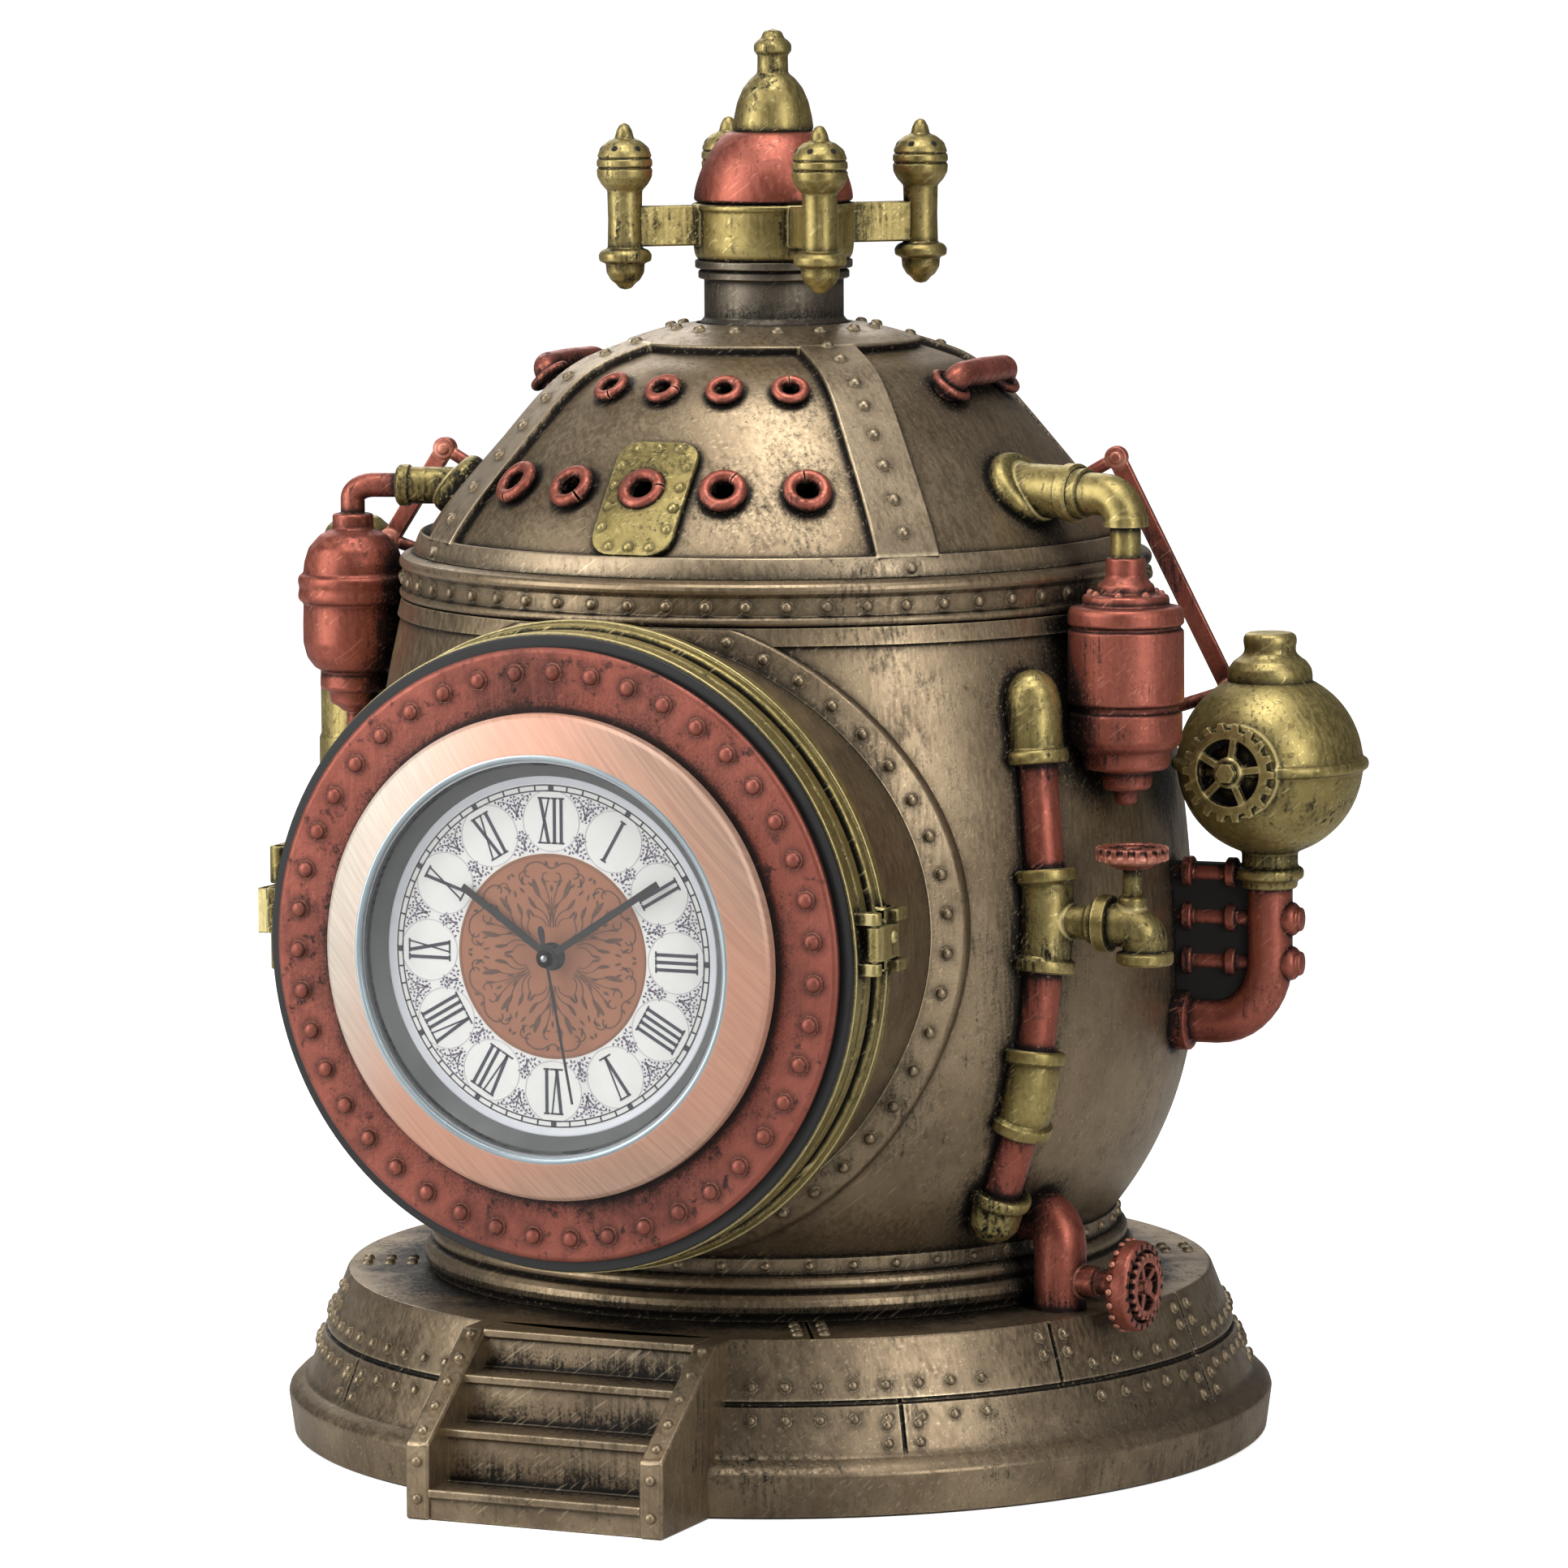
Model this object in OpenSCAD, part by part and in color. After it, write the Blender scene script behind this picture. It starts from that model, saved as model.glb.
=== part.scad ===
// Trinket box clock in the shape of a riveted diving boiler.
// Millimetres, z up, the clock faces -y, the origin is at the middle of the base's underside.

/* [Base] */
// Radius of the base rim at its widest
base_r = 77; // [74:0.5:81]
// Height of the base rim
rim_h = 6.5; // [5:0.5:8]
// Height of the flat top of the base
base_h = 25.5; // [24:0.5:28]
// Radius of the flat top of the base
base_top_r = 67.5; // [66.5:0.5:69]
// Thickness of the felt pad let into the underside
pad_t = 2; // [1:0.5:3]

/* [Stairs] */
// Outer width of the stairs
stair_w = 41.8; // [36:0.2:46]
// Thickness of each stringer
stringer_t = 3.8; // [3:0.1:5]
// Reach of the stairs beyond the base rim
stair_reach = 13; // [11:0.5:16]

/* [Body] */
// Widest radius of the boiler body
body_r = 65; // [63:0.5:66]
// Radius of the body at its foot
foot_r = 52.5; // [51:0.5:54]
// Radius of the body under the dome
top_r = 57.5; // [56:0.5:58.5]
// Wall thickness of the body
wall = 4.5; // [3.5:0.25:6]
// Gap between the body's foot and the drum
drum_gap = 3.3; // [2.8:0.1:6.3]

/* [Dome] */
// Step from the body's rim in to the foot of the dome
dome_step = 1.3; // [1.2:0.1:2.5]
// Height of the dome
dome_h = 35.2; // [34:0.2:37]
// Depth of the recessed panels
panel_d = 1.2; // [0.8:0.1:1.6]
// Width of the four ribs
rib_w = 10.1; // [8:0.1:13]
// Radius of the large porthole rings
ring_big_r = 3.75; // [3.2:0.05:4]
// Radius of the small porthole rings
ring_small_r = 2.95; // [2.4:0.05:3.1]

/* [Door] */
// Radius of the copper door plate
plate_r = 45.5; // [44:0.25:46]
// Distance of the door plate's face from the axis
door_front = 81.6; // [80.5:0.1:83]
// Thickness of the copper door plate
plate_t = 1.6; // [1.2:0.1:2]
// Depth of the brass ring behind the door plate
door_ring_d = 6; // [5.5:0.1:7]
// Wall of the drum that carries the door
drum_wall = 4; // [3:0.25:5]

/* [Clock] */
// Outer radius of the clock's bezel
bezel_r = 36; // [35:0.25:37]
// Radius of the clock insert's cup
cup_r = 30; // [29.5:0.1:30.5]
// Width of the sloping ring between dial and lens
rehaut_w = 2.4; // [1.8:0.1:3]
// Time that the hands show, in minutes after twelve
shown_time = 609.47; // [0:0.01:719]

/* [Top] */
// Radius of the neck
neck_r = 10.8; // [10:0.1:11.4]
// Radius of the hub belt
hub_r = 12.4; // [12:0.1:13]
// Distance of the four posts from the axis
post_at = 23.9; // [22.5:0.2:25.5]

/* [Side fittings] */
// Distance of the canisters' axes from the rim
can_off = 10; // [9.5:0.25:12]
// Distance of the riser's axis from the edge of the drum's strip
riser_gap = 9; // [8.3:0.1:10.3]
// Distance of the globe's centre from the body's widest radius
globe_off = 14.5; // [14:0.25:17]
// Radius of the globe
globe_r = 14.2; // [13.4:0.1:14.4]

/* [Fits] */
// Radial clearance of every running fit
run = 0.05; // [0.03:0.01:0.08]
// Gap between pieces that pass each other
pass = 0.3; // [0.25:0.05:0.5]

/* [Hidden] */
$fn = 96;
e = 0.01;
pad_r = base_r - 9;
ledge_z = rim_h + 2.4;
ledge_r = base_r - 3;
stair_front = base_r + stair_reach;
foot_z = base_h + 9.5;
rear_r = plate_r + 3;
drum_r = rear_r - 2.8;
bore_r = drum_r - drum_wall;
flange_r = drum_r + 4;
door_z = foot_z + drum_gap + drum_r;
wide_z = door_z - 14;
body_z1 = door_z + drum_r + 0.8;
dome_z = body_z1 + 7;
dome_r = top_r - dome_step;
band_in = top_r - 1.2;
neck_z = dome_z + dome_h;
collar_z = neck_z + 6.6;
hub_z = collar_z + 3;
bell_z = hub_z + 8.8;
tip_z = bell_z + 11.1;
edge_f = door_front - plate_t;
ring_f = edge_f - 1;
part_f = ring_f - door_ring_d - pass;
rear_f = part_f - pass;
edge_r = plate_r + 1.7;
door_ring_r = plate_r + 1.9;
rear_d = 4.4;
floor_z = foot_z + 5;
roof_z = body_z1 - 8;
hole_r = cup_r + 1.4;
dial_f = door_front + 0.1;
lip_f = door_front + 4.6;
lens_f = lip_f - 1.8;
lens_t = 1.2;
lens_r = cup_r - 1;
dial_r = lens_r - rehaut_w;
cup_back = door_front - 17;
module_r = 21.8;
hinge_r = 1.5;
hinge_x = -(rear_r + hinge_r + 0.2);
hinge_f = part_f - 1.5;
pin_r = 0.7;
latch_off = 0.9;
latch_r = 1.1;
latch_x = rear_r + latch_off;
latch_f = part_f + 4.3;
// Hinge and latch sit a little above the clock's centre
catch_z = door_z + 3.6;
pocket_x = 10;
knob_x = -10;
aux_y = -6;

// Shared curves

// Radius at height z of an arc that is upright at [r1, z1] and passes through [r0, z0]
function arc_r(z, r0, z0, r1, z1) =
  let (q = (pow(z1 - z0, 2) + pow(r1 - r0, 2)) / (2 * (r1 - r0)))
  r1 - q + sqrt(q * q - pow(z - z1, 2));
function body_at(z) = z < wide_z ? arc_r(z, foot_r, foot_z, body_r, wide_z)
  : arc_r(z, top_r, body_z1, body_r, wide_z);
body_low = [for (i = [0:6]) foot_z + (wide_z - foot_z) * i / 6];
body_high = [for (i = [1:7]) wide_z + (body_z1 - wide_z) * i / 7];
body_line = [for (z = concat(body_low, body_high)) [body_at(z), z]];

dome_unit = [[56.2, 0], [55.6, 2.4], [54, 5], [51.6, 8.4], [48.2, 12.4], [44.2, 17], [39.7, 22.1],
  [36, 26], [31.2, 29.6], [26.5, 31.4], [21.7, 32.9], [17.8, 34.2], [12, 35.2]];
dome_line = [for (p = dome_unit) [p[0] * dome_r / 56.2, p[1] * dome_h / 35.2]];
dome_n = len(dome_line);
function dome_way(i) = dome_line[min(i + 1, dome_n - 1)] - dome_line[max(i - 1, 0)];
function dome_in(i, d) = let (t = dome_way(i)) dome_line[i] - d * [t[1], -t[0]] / norm(t);
panel_line = [for (i = [0:dome_n - 1])
  i == 0 ? [dome_line[0][0] - panel_d, 0] : dome_in(i, panel_d)];
panel_look = [for (p = panel_line) [p[1], p[0]]];
function panel_at(z) = lookup(z, panel_look);
function panel_tilt(z) = atan2(panel_at(z - 1.5) - panel_at(z + 1.5), 3);

// Shared helpers

// Local frame whose x runs outward at a bearing from the front, toward the right
module at(b) rotate([0, 0, b - 90]) children();
// Local frame whose z points out of the door's face along the clock's axis
module facing() translate([0, 0, door_z]) rotate([90, 0, 0]) children();
// Local frame whose z points out of a dome panel at a bearing and a height
module on_dome(b, z)
  at(b) translate([panel_at(z), 0, dome_z + z]) rotate([0, 90 - panel_tilt(z), 0]) children();
module turned(p) rotate_extrude() polygon(p);
// A flat ring in the facing frame from depth f0 to depth f1
module ring(r, r_in, f0, f1) difference() {
  translate([0, 0, f0]) cylinder(r = r, h = f1 - f0);
  translate([0, 0, f0 - 1]) cylinder(r = r_in, h = f1 - f0 + 2);
}
// A point at a bearing from the front, a distance from the upright axis and a height
function out_at(b, r, z) = [r * sin(b), -r * cos(b), z];
// Local frame at point a whose z points to point b
module along(a, b) let (d = b - a)
  translate(a) rotate([0, acos(d[2] / norm(d)), atan2(d[1], d[0])]) children();
// A round rod between two points
module rod(a, b, r) along(a, b) cylinder(r = r, h = norm(b - a));
// A quarter bend in the x-z plane, from +x round to +z about the local origin
module bend(r_bend, r) rotate([90, 0, 0]) rotate_extrude(angle = 90) translate([r_bend, 0]) circle(r);
// Outline of a gear with n teeth between radius r0 and radius r1
function gear_line(n, r0, r1) = [for (k = [0:n - 1])
  for (q = [[-0.3, r0], [-0.17, r1], [0.17, r1], [0.3, r0]])
    q[1] * [cos((k + q[0]) * 360 / n), sin((k + q[0]) * 360 / n)]];
module torus(r, t) rotate_extrude() translate([r, 0]) circle(t);
// Clears the space of one of the door's round frames out of the pieces fixed to its edge
module frame_cut(r) facing() translate([0, 0, 20]) cylinder(r = r, h = 70, $fn = 240);
module body_solid() {
  turned(concat([[0, foot_z]], body_line, [[0, body_z1]]));
  translate([0, 0, body_z1 - e]) cylinder(r = band_in, h = dome_z - body_z1 + e);
}
module base_solid() turned([[0, 0], [base_r - 0.9, 0], [base_r, rim_h], [base_r - 1.4, rim_h + 1.6],
  [ledge_r, ledge_z], [base_top_r, base_h], [0, base_h]]);
module dome_solid() translate([0, 0, dome_z])
  turned(concat([[0, 0]], panel_line, [[0, panel_line[dome_n - 1][1]]]));
module dome_skin() difference() {
  translate([0, 0, dome_z]) turned(concat([[0, 0]], dome_line, [[0, dome_h]]));
  dome_solid();
}

// Base

module base_plinth() color("#6e5f46") difference() {
  base_solid();
  translate([0, 0, -1]) cylinder(r = pad_r, h = pad_t + 1);
}
module base_pad() color("#2b2a28") cylinder(r = pad_r, h = pad_t);

tread_z = [base_h * 0.185, base_h * 0.5, base_h * 0.775, base_h];
tread_f = [stair_front, stair_front - 6, stair_front - 12.5, stair_front - 19.2];
module stair_treads() color("#7a6a4e") difference() {
  translate([-(stair_w / 2 - stringer_t), 0, 0]) rotate([90, 0, 90])
    linear_extrude(stair_w - 2 * stringer_t) polygon([[-60, 0], [-tread_f[0], 0],
      [-tread_f[0], tread_z[0]], [-tread_f[1], tread_z[0]], [-tread_f[1], tread_z[1]],
      [-tread_f[2], tread_z[1]], [-tread_f[2], tread_z[2]], [-tread_f[3], tread_z[2]],
      [-tread_f[3], tread_z[3]], [-60, tread_z[3]]]);
  base_solid();
}
module stair_stringers() color("#7a6a4e") for (s = [-1, 1]) difference() {
  translate([s * (stair_w - stringer_t) / 2 - stringer_t / 2, 0, 0]) rotate([90, 0, 90])
    linear_extrude(stringer_t) polygon([[-60, 0], [-stair_front, 0], [-stair_front, base_h * 0.45],
      [-stair_front + 1.2, base_h * 0.48], [-tread_f[3] + 0.6, base_h], [-60, base_h]]);
  base_solid();
}

// Body

module foot_moulding() color("#75664b") translate([0, 0, base_h]) {
  cylinder(r = foot_r + 0.4, h = foot_z - base_h);
  translate([0, 0, 2.5]) torus(foot_r + 0.9, 2.2);
  translate([0, 0, 5.6]) torus(foot_r + 0.6, 1.4);
}
module body_shell() color("#6e5f46") difference() {
  body_solid();
  turned(concat([[0, floor_z], [body_at(floor_z) - wall, floor_z]],
    [for (p = body_line) if (p[1] > floor_z + 0.5 && p[1] < roof_z) [p[0] - wall, p[1]]],
    [[body_at(roof_z) - wall, roof_z], [0, roof_z]]));
  facing() translate([0, 0, 20]) cylinder(r = bore_r, h = 60);
}
module rim_solid() translate([0, 0, body_z1]) {
  cylinder(r = top_r + 0.2, h = 5.4);
  translate([0, 0, 0.9]) torus(top_r + 0.1, 0.8);
  translate([0, 0, 5.6]) torus(top_r - 0.2, 1.1);
}
module rim_band() color("#8a7a5a") difference() {
  rim_solid();
  translate([0, 0, body_z1 - 2]) cylinder(r = band_in, h = 12);
}

// Drum that carries the door

module drum() color("#6e5f46") difference() {
  facing() ring(drum_r, bore_r, 25, rear_f - rear_d);
  body_solid();
}
module drum_flange() color("#5f523d") difference() {
  intersection() {
    turned(concat([[0, foot_z]], [for (p = body_line) [p[0] + 1.1, p[1]]], [[0, body_z1]]));
    facing() ring(flange_r, drum_r, 25, 75);
  }
  body_solid();
  translate([-60, -80, body_z1 - 0.6]) cube([120, 80, 10]);
}
module rear_ring() color("#9a8a48") facing() ring(rear_r, bore_r, rear_f - rear_d, rear_f);

// Dome

low_z = dome_h * 0.361;
high_z = dome_h * 0.77;
low_turn = -0.8;
high_turn = 2.7;
hatch_w = 13.5;
hatch_h = 20.8;
hatch_z = dome_h * 0.332;
ring_gap = 1.7;
low_step = asin((hatch_w / 2 + ring_big_r + ring_gap) / panel_at(low_z));
high_step = asin((2 * ring_small_r + 3.5) / panel_at(high_z));
low_b = [for (k = [-2:2]) low_turn + k * low_step];
high_b = [for (k = [-1.5:1.5]) high_turn + k * high_step];
module ring_bores(bearings, z, r) for (b = bearings) on_dome(b, z) {
  translate([0, 0, -1]) cylinder(r = r, h = 6);
  translate([0, 0, -4]) cylinder(r = r * 0.52, h = 6);
}
module port_row(bearings, z, r) for (b = bearings) on_dome(b, z) difference() {
  union() {
    translate([0, 0, -1]) cylinder(r = r, h = 1.9);
    translate([0, 0, 0.9]) cylinder(r1 = r, r2 = r - 0.7, h = 0.5);
  }
  translate([0, 0, -2]) cylinder(r = r * 0.52, h = 5);
}
module dome() color("#6e5f46") difference() {
  dome_solid();
  ring_bores(low_b, low_z, ring_big_r);
  ring_bores(high_b, high_z, ring_small_r);
}
band_h = 3.3;
module dome_frame() color("#8a7a5a") intersection() {
  dome_skin();
  union() {
    for (a = [45, 135]) rotate([0, 0, a]) translate([-70, -rib_w / 2, dome_z]) cube([140, rib_w, 50]);
    translate([0, 0, dome_z]) cylinder(r = 70, h = band_h);
    translate([0, 0, dome_z + 20]) cylinder(r = dome_r * 0.406, h = 30);
  }
}
module port_rings() color("#9c5546") {
  port_row(low_b, low_z, ring_big_r);
  port_row(high_b, high_z, ring_small_r);
}

module hatch_plate() color("#a2924c") difference() {
  intersection() {
    dome_skin();
    on_dome(0, hatch_z) translate([0, 0, -4]) linear_extrude(8) polygon([
      for (c = [[1, 1, 0], [-1, 1, 90], [-1, -1, 180], [1, -1, 270]]) for (k = [0:4])
        [c[0] * (hatch_h / 2 - 3.6) + 3.6 * cos(c[2] + k * 22.5),
         c[1] * (hatch_w / 2 - 3.6) + 3.6 * sin(c[2] + k * 22.5)]]);
  }
  on_dome(low_turn, low_z) translate([0, 0, -4]) cylinder(r = ring_big_r, h = 8);
}
handle_z = dome_h * 0.775;
handle_len = 20;
handle_off = 2.4;
handle_r = 2;
handle_turn = 2.4;
module dome_handles() color("#9c5546") for (b = [-90, 90]) difference() {
  on_dome(b, handle_z) {
    rod([0, handle_turn - handle_len / 2, handle_off], [0, handle_len / 2 - handle_turn, handle_off],
      handle_r);
    for (s = [-1, 1]) {
      translate([0, s * (handle_len / 2 - handle_turn), handle_off - handle_turn]) rotate([0, 0, s * 90])
        bend(handle_turn, handle_r);
      translate([0, s * handle_len / 2, -5]) cylinder(r = handle_r, h = handle_off - handle_turn + 5);
      translate([0, s * handle_len / 2, -5]) cylinder(r = handle_r + 1.3, h = 5.8);
    }
  }
  dome_solid();
}

// Top

module neck_collar() color("#5f554c") turned([[0, neck_z], [neck_r + 0.6, neck_z], [neck_r, neck_z + 0.7],
  [neck_r, collar_z], [neck_r + 0.9, collar_z + 0.2], [neck_r + 0.9, collar_z + 1.3],
  [neck_r + 0.5, collar_z + 1.5], [neck_r + 1.4, collar_z + 1.8], [neck_r + 1.4, hub_z], [0, hub_z]]);
post_r = 2.7;
post_turn = [41:90:311];
module hub() color("#9a8a48") difference() {
  union() {
    turned([[0, hub_z], [hub_r - 0.7, hub_z], [hub_r, hub_z + 1.2], [hub_r, bell_z - 0.6],
      [hub_r - 0.3, bell_z], [0, bell_z]]);
    for (a = post_turn) rotate([0, 0, a])
      translate([0, -1.5, hub_z + 2.4]) cube([post_at, 3, bell_z - hub_z - 2.6]);
  }
  for (a = post_turn) rotate([0, 0, a]) translate([post_at, 0, hub_z - 5]) cylinder(r = post_r, h = 30);
}
module posts() color("#9a8a48") for (a = post_turn) rotate([0, 0, a])
  translate([post_at, 0, hub_z - 4.2]) turned([[0, 0], [0.9, 0.2], [1.7, 1.1], [2.2, 1.4], [2.9, 2.6],
    [3, 4], [4, 4.4], [4.1, 5.4], [3.6, 6.1], [post_r, 6.4], [post_r, 15.2], [3.6, 16.4], [4.2, 17.6],
    [4.3, 18.6], [4, 18.8], [4.3, 19], [4.25, 20], [3.95, 20.2], [4.2, 20.4], [3.7, 21.6], [2.4, 22.9],
    [1.5, 23.2], [1.1, 24.6], [0.3, 25.6], [0, 25.6]]);
module copper_bell() color("#9c5546") turned([[0, bell_z], [hub_r, bell_z], [hub_r - 0.2, bell_z + 1.6],
  [hub_r - 1, bell_z + 4.4], [hub_r - 2.4, bell_z + 7.2], [hub_r - 4.2, bell_z + 9.6],
  [hub_r - 5.6, tip_z], [0, tip_z]]);
module brass_bell() color("#9a8a48") turned([[0, tip_z], [6.2, tip_z], [6, tip_z + 2], [5.5, tip_z + 4.2],
  [4.5, tip_z + 6.6], [3.2, tip_z + 8.2], [2.4, tip_z + 8.8], [2.4, tip_z + 11.8], [2.9, tip_z + 12.2],
  [2.9, tip_z + 13.2], [2.4, tip_z + 13.8], [1.8, tip_z + 14.2], [1.5, tip_z + 15.2], [0, tip_z + 15.6]]);

// Side canisters and their pipes

riser_in = 1.5;
riser_b = asin((flange_r + riser_gap) / (body_r + riser_in));
can_b = riser_b + 13;
globe_b = can_b + 20;
tank_b = can_b + 13.5;
drain_b = riser_b + 6;
out_z = dome_h * 0.335;
pipe_z = dome_z + out_z - 0.6;
can_top = body_z1 + 8.8;
can_at = max(top_r + can_off, body_at(can_top - 36) + can_off - 5.5);
globe_at = max(body_r + globe_off, top_r + 22);
left_top = can_top + 3;
left_at = can_at - 0.6;
left_drop = 1.8;
left_z = pipe_z - left_drop;
module outlet(b, r, reach, drop) difference() {
  union() {
    at(b) rod([30, 0, pipe_z - drop], [reach, 0, pipe_z - drop], r);
    on_dome(b, out_z - drop) translate([0, 0, -3]) cylinder(r = r + 2.1, h = 4.2);
  }
  dome_solid();
}
module outlets() color("#a2924c") {
  outlet(can_b, 4.1, can_at - 8.6, 0);
  outlet(-can_b, 2.9, left_at - 7.2, left_drop);
}
module elbow_right() color("#a2924c") at(can_b) {
  rod([can_at - 8.6, 0, pipe_z], [can_at - 5.6, 0, pipe_z], 3.2);
  translate([can_at - 5.6, 0, pipe_z - 5.6]) bend(5.6, 3.2);
  rod([can_at, 0, pipe_z - 5.6], [can_at, 0, can_top], 2.2);
}
left_bend = 4.4;
module elbow_left() color("#9c5546") at(-can_b) {
  rod([left_at - 7.2, 0, left_z], [left_at - left_bend, 0, left_z], 1.9);
  translate([left_at - left_bend, 0, left_z - left_bend]) bend(left_bend, 1.9);
  rod([left_at, 0, left_z - left_bend], [left_at, 0, left_top], 1.9);
}
module canister_right() color("#9c5546") difference() {
  at(can_b) translate([can_at, 0, can_top]) turned([[0, 0], [3, 0], [3, -3], [4.2, -4], [4.4, -5.2],
    [6.5, -5.4], [6.6, -7], [8.7, -7.4], [8.8, -21.9], [8.25, -22.3], [8.25, -22.9], [8.5, -23.3],
    [8.5, -27.2], [8, -28.2], [6.9, -29], [6.6, -31.2], [6.2, -31.7], [4, -32], [3.9, -34.2],
    [3.4, -34.8], [1.9, -35], [1.7, -36.6], [1.1, -37.2], [0, -37.2]]);
  body_solid();
}
tail_z = left_top - 38;
tail_r = 1.3;
tail_bend = 4;
module canister_left() color("#9c5546") difference() {
  at(-can_b) {
    translate([left_at, 0, left_top]) turned([[0, 0], [3.2, 0], [3.2, -2.2], [5.2, -3.2], [7, -5.2],
      [7.7, -7.4], [7.9, -9.2], [8.75, -9.6], [8.75, -13.4], [7.9, -13.8], [8, -20], [7.4, -22.4],
      [6.2, -24], [5, -24.6], [5.4, -25.4], [5.4, -27.2], [4, -27.9], [3.8, -29.6], [2.6, -30.2],
      [1.8, -31], [0, -31]]);
    rod([left_at, 0, left_top - 30.5], [left_at, 0, tail_z + tail_bend], tail_r);
    translate([left_at - tail_bend, 0, tail_z + tail_bend]) mirror([0, 0, 1]) bend(tail_bend, tail_r);
    rod([left_at - tail_bend, 0, tail_z], [left_at - 16, 0, tail_z], tail_r);
  }
  body_solid();
}
tank_at = body_r + 6.5;
module left_tank() color("#a2924c") difference() {
  at(-tank_b) {
    translate([tank_at, 0, door_z + 4]) turned([[0, 0], [4, 0], [5.6, 1.2], [6.3, 3], [6.3, 46],
      [6, 48.6], [5, 51], [3.2, 52.6], [0, 53.2]]);
    for (z = [12, 36]) translate([tank_at - 20, -2.5, door_z + z]) cube([16, 5, 5]);
  }
  body_solid();
}
// Upper and lower end of each stay in the plane of its bearing
stay_right = [[dome_r - 2.7, 0, dome_z + 14.5], [top_r + 13.6, 0, body_z1 - 14.2]];
stay_left = [[dome_r - 1.6, 0, dome_z + 14.5], [top_r + 6.5, 0, body_z1 + 7]];
module eyelet(p) translate(p) rotate([90, 0, 0]) translate([0, 0, -1.1]) cylinder(r = 1.8, h = 2.2);
module stay(b, ends) difference() {
  at(b) {
    rod(ends[0], ends[1], 1.1);
    eyelet(ends[0]);
    eyelet(ends[1]);
    rod(ends[1], ends[1] - [18, 0, 6], 1);
    rod(ends[0], ends[0] - [12, 0, 7], 1);
  }
  body_solid();
  rim_solid();
  dome_solid();
}
module stays() color("#8f4e40") {
  stay(globe_b + 8, stay_right);
  stay(4 - tank_b, stay_left);
}

// Riser with its tap

riser_z = [body_z1 - 15, door_z + 1.9, door_z - 23.8, foot_z + 6.5];
// The riser's lower half leans in under the drum
riser_lean = [0, 0.4, 3.2, 4.4];
riser_p = [for (i = [0:3]) out_at(riser_b - riser_lean[i], body_at(riser_z[i]) + riser_in, riser_z[i])];
arm_l = [6.4, 7.7, 6.4, 3.4];
tube_r = 3.1;
// One socket of a riser fitting, from point i toward point j
module socket(i, j, l) along(riser_p[i], riser_p[j])
  turned([[0, 1], [4.2, 1], [4.2, l - 2.1], [4.9, l - 1.6], [4.8, l], [0, l]]);
module riser_fittings() color("#a2924c") difference() {
  union() {
    along(riser_p[0], riser_p[1]) turned([[0, -7.8], [2.6, -7], [3.9, -5.2], [4.4, -2.6],
      [4.4, arm_l[0] - 2], [4.9, arm_l[0] - 1.6], [4.8, arm_l[0]], [0, arm_l[0]]]);
    for (i = [1, 2]) {
      translate(riser_p[i]) sphere(4.6);
      socket(i, i - 1, arm_l[i]);
      socket(i, i + 1, arm_l[i]);
    }
    tap_frame() rod([0, 0, 0], [8.6, 0, 0], 2.6);
    along(riser_p[3], riser_p[2]) turned([[0, -4.8], [3, -4], [4.3, -1.6],
      [4.3, arm_l[3] - 2], [4.9, arm_l[3] - 1.6], [4.8, arm_l[3]], [0, arm_l[3]]]);
  }
  body_solid();
}
module riser_tubes() color("#9c5546") difference() {
  for (i = [0:2]) let (d = riser_p[i + 1] - riser_p[i], u = d / norm(d))
    rod(riser_p[i] + u * arm_l[i], riser_p[i + 1] - u * arm_l[i + 1], tube_r);
  body_solid();
}
module tap_frame() translate(riser_p[1]) children();
tap_h = 8.4;
module tap() color("#a2924c") tap_frame() {
  rod([8.6, 0, 0], [10.6, 0, 0], 4.2);
  rod([10.6, 0, 0], [12, 0, 0], 3.3);
  translate([12, 0, -3.6]) bend(3.6, 3.3);
  translate([15.6, 0, 0]) {
    translate([0, 0, -4.1]) cylinder(r = 3.3, h = 0.5);
    translate([0, 0, -5.7]) cylinder(r = 4.2, h = 1.6);
  }
  translate([13.6, 0, 2]) cylinder(r = 1.5, h = tap_h - 2);
}
module tap_wheel() color("#9c5546") tap_frame() translate([13.6, 0, tap_h]) difference() {
  turned([[0, 0], [2.6, 0], [4.4, 1.2], [5.3, 1.4], [5.4, 3.2], [4, 3.6], [3.4, 2.8], [1.4, 2.8],
    [1.2, 3.5], [0, 3.6]]);
  for (k = [0:17]) rotate([0, 0, k * 20]) translate([4.6, -0.4, 1.9]) cube([2, 0.8, 3]);
}

// Globe with its gear and pipe

globe_z = door_z + 22.4;
neck_low = globe_z - globe_r - 5;
module globe_frame() at(globe_b) translate([globe_at, 0, globe_z]) children();
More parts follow.
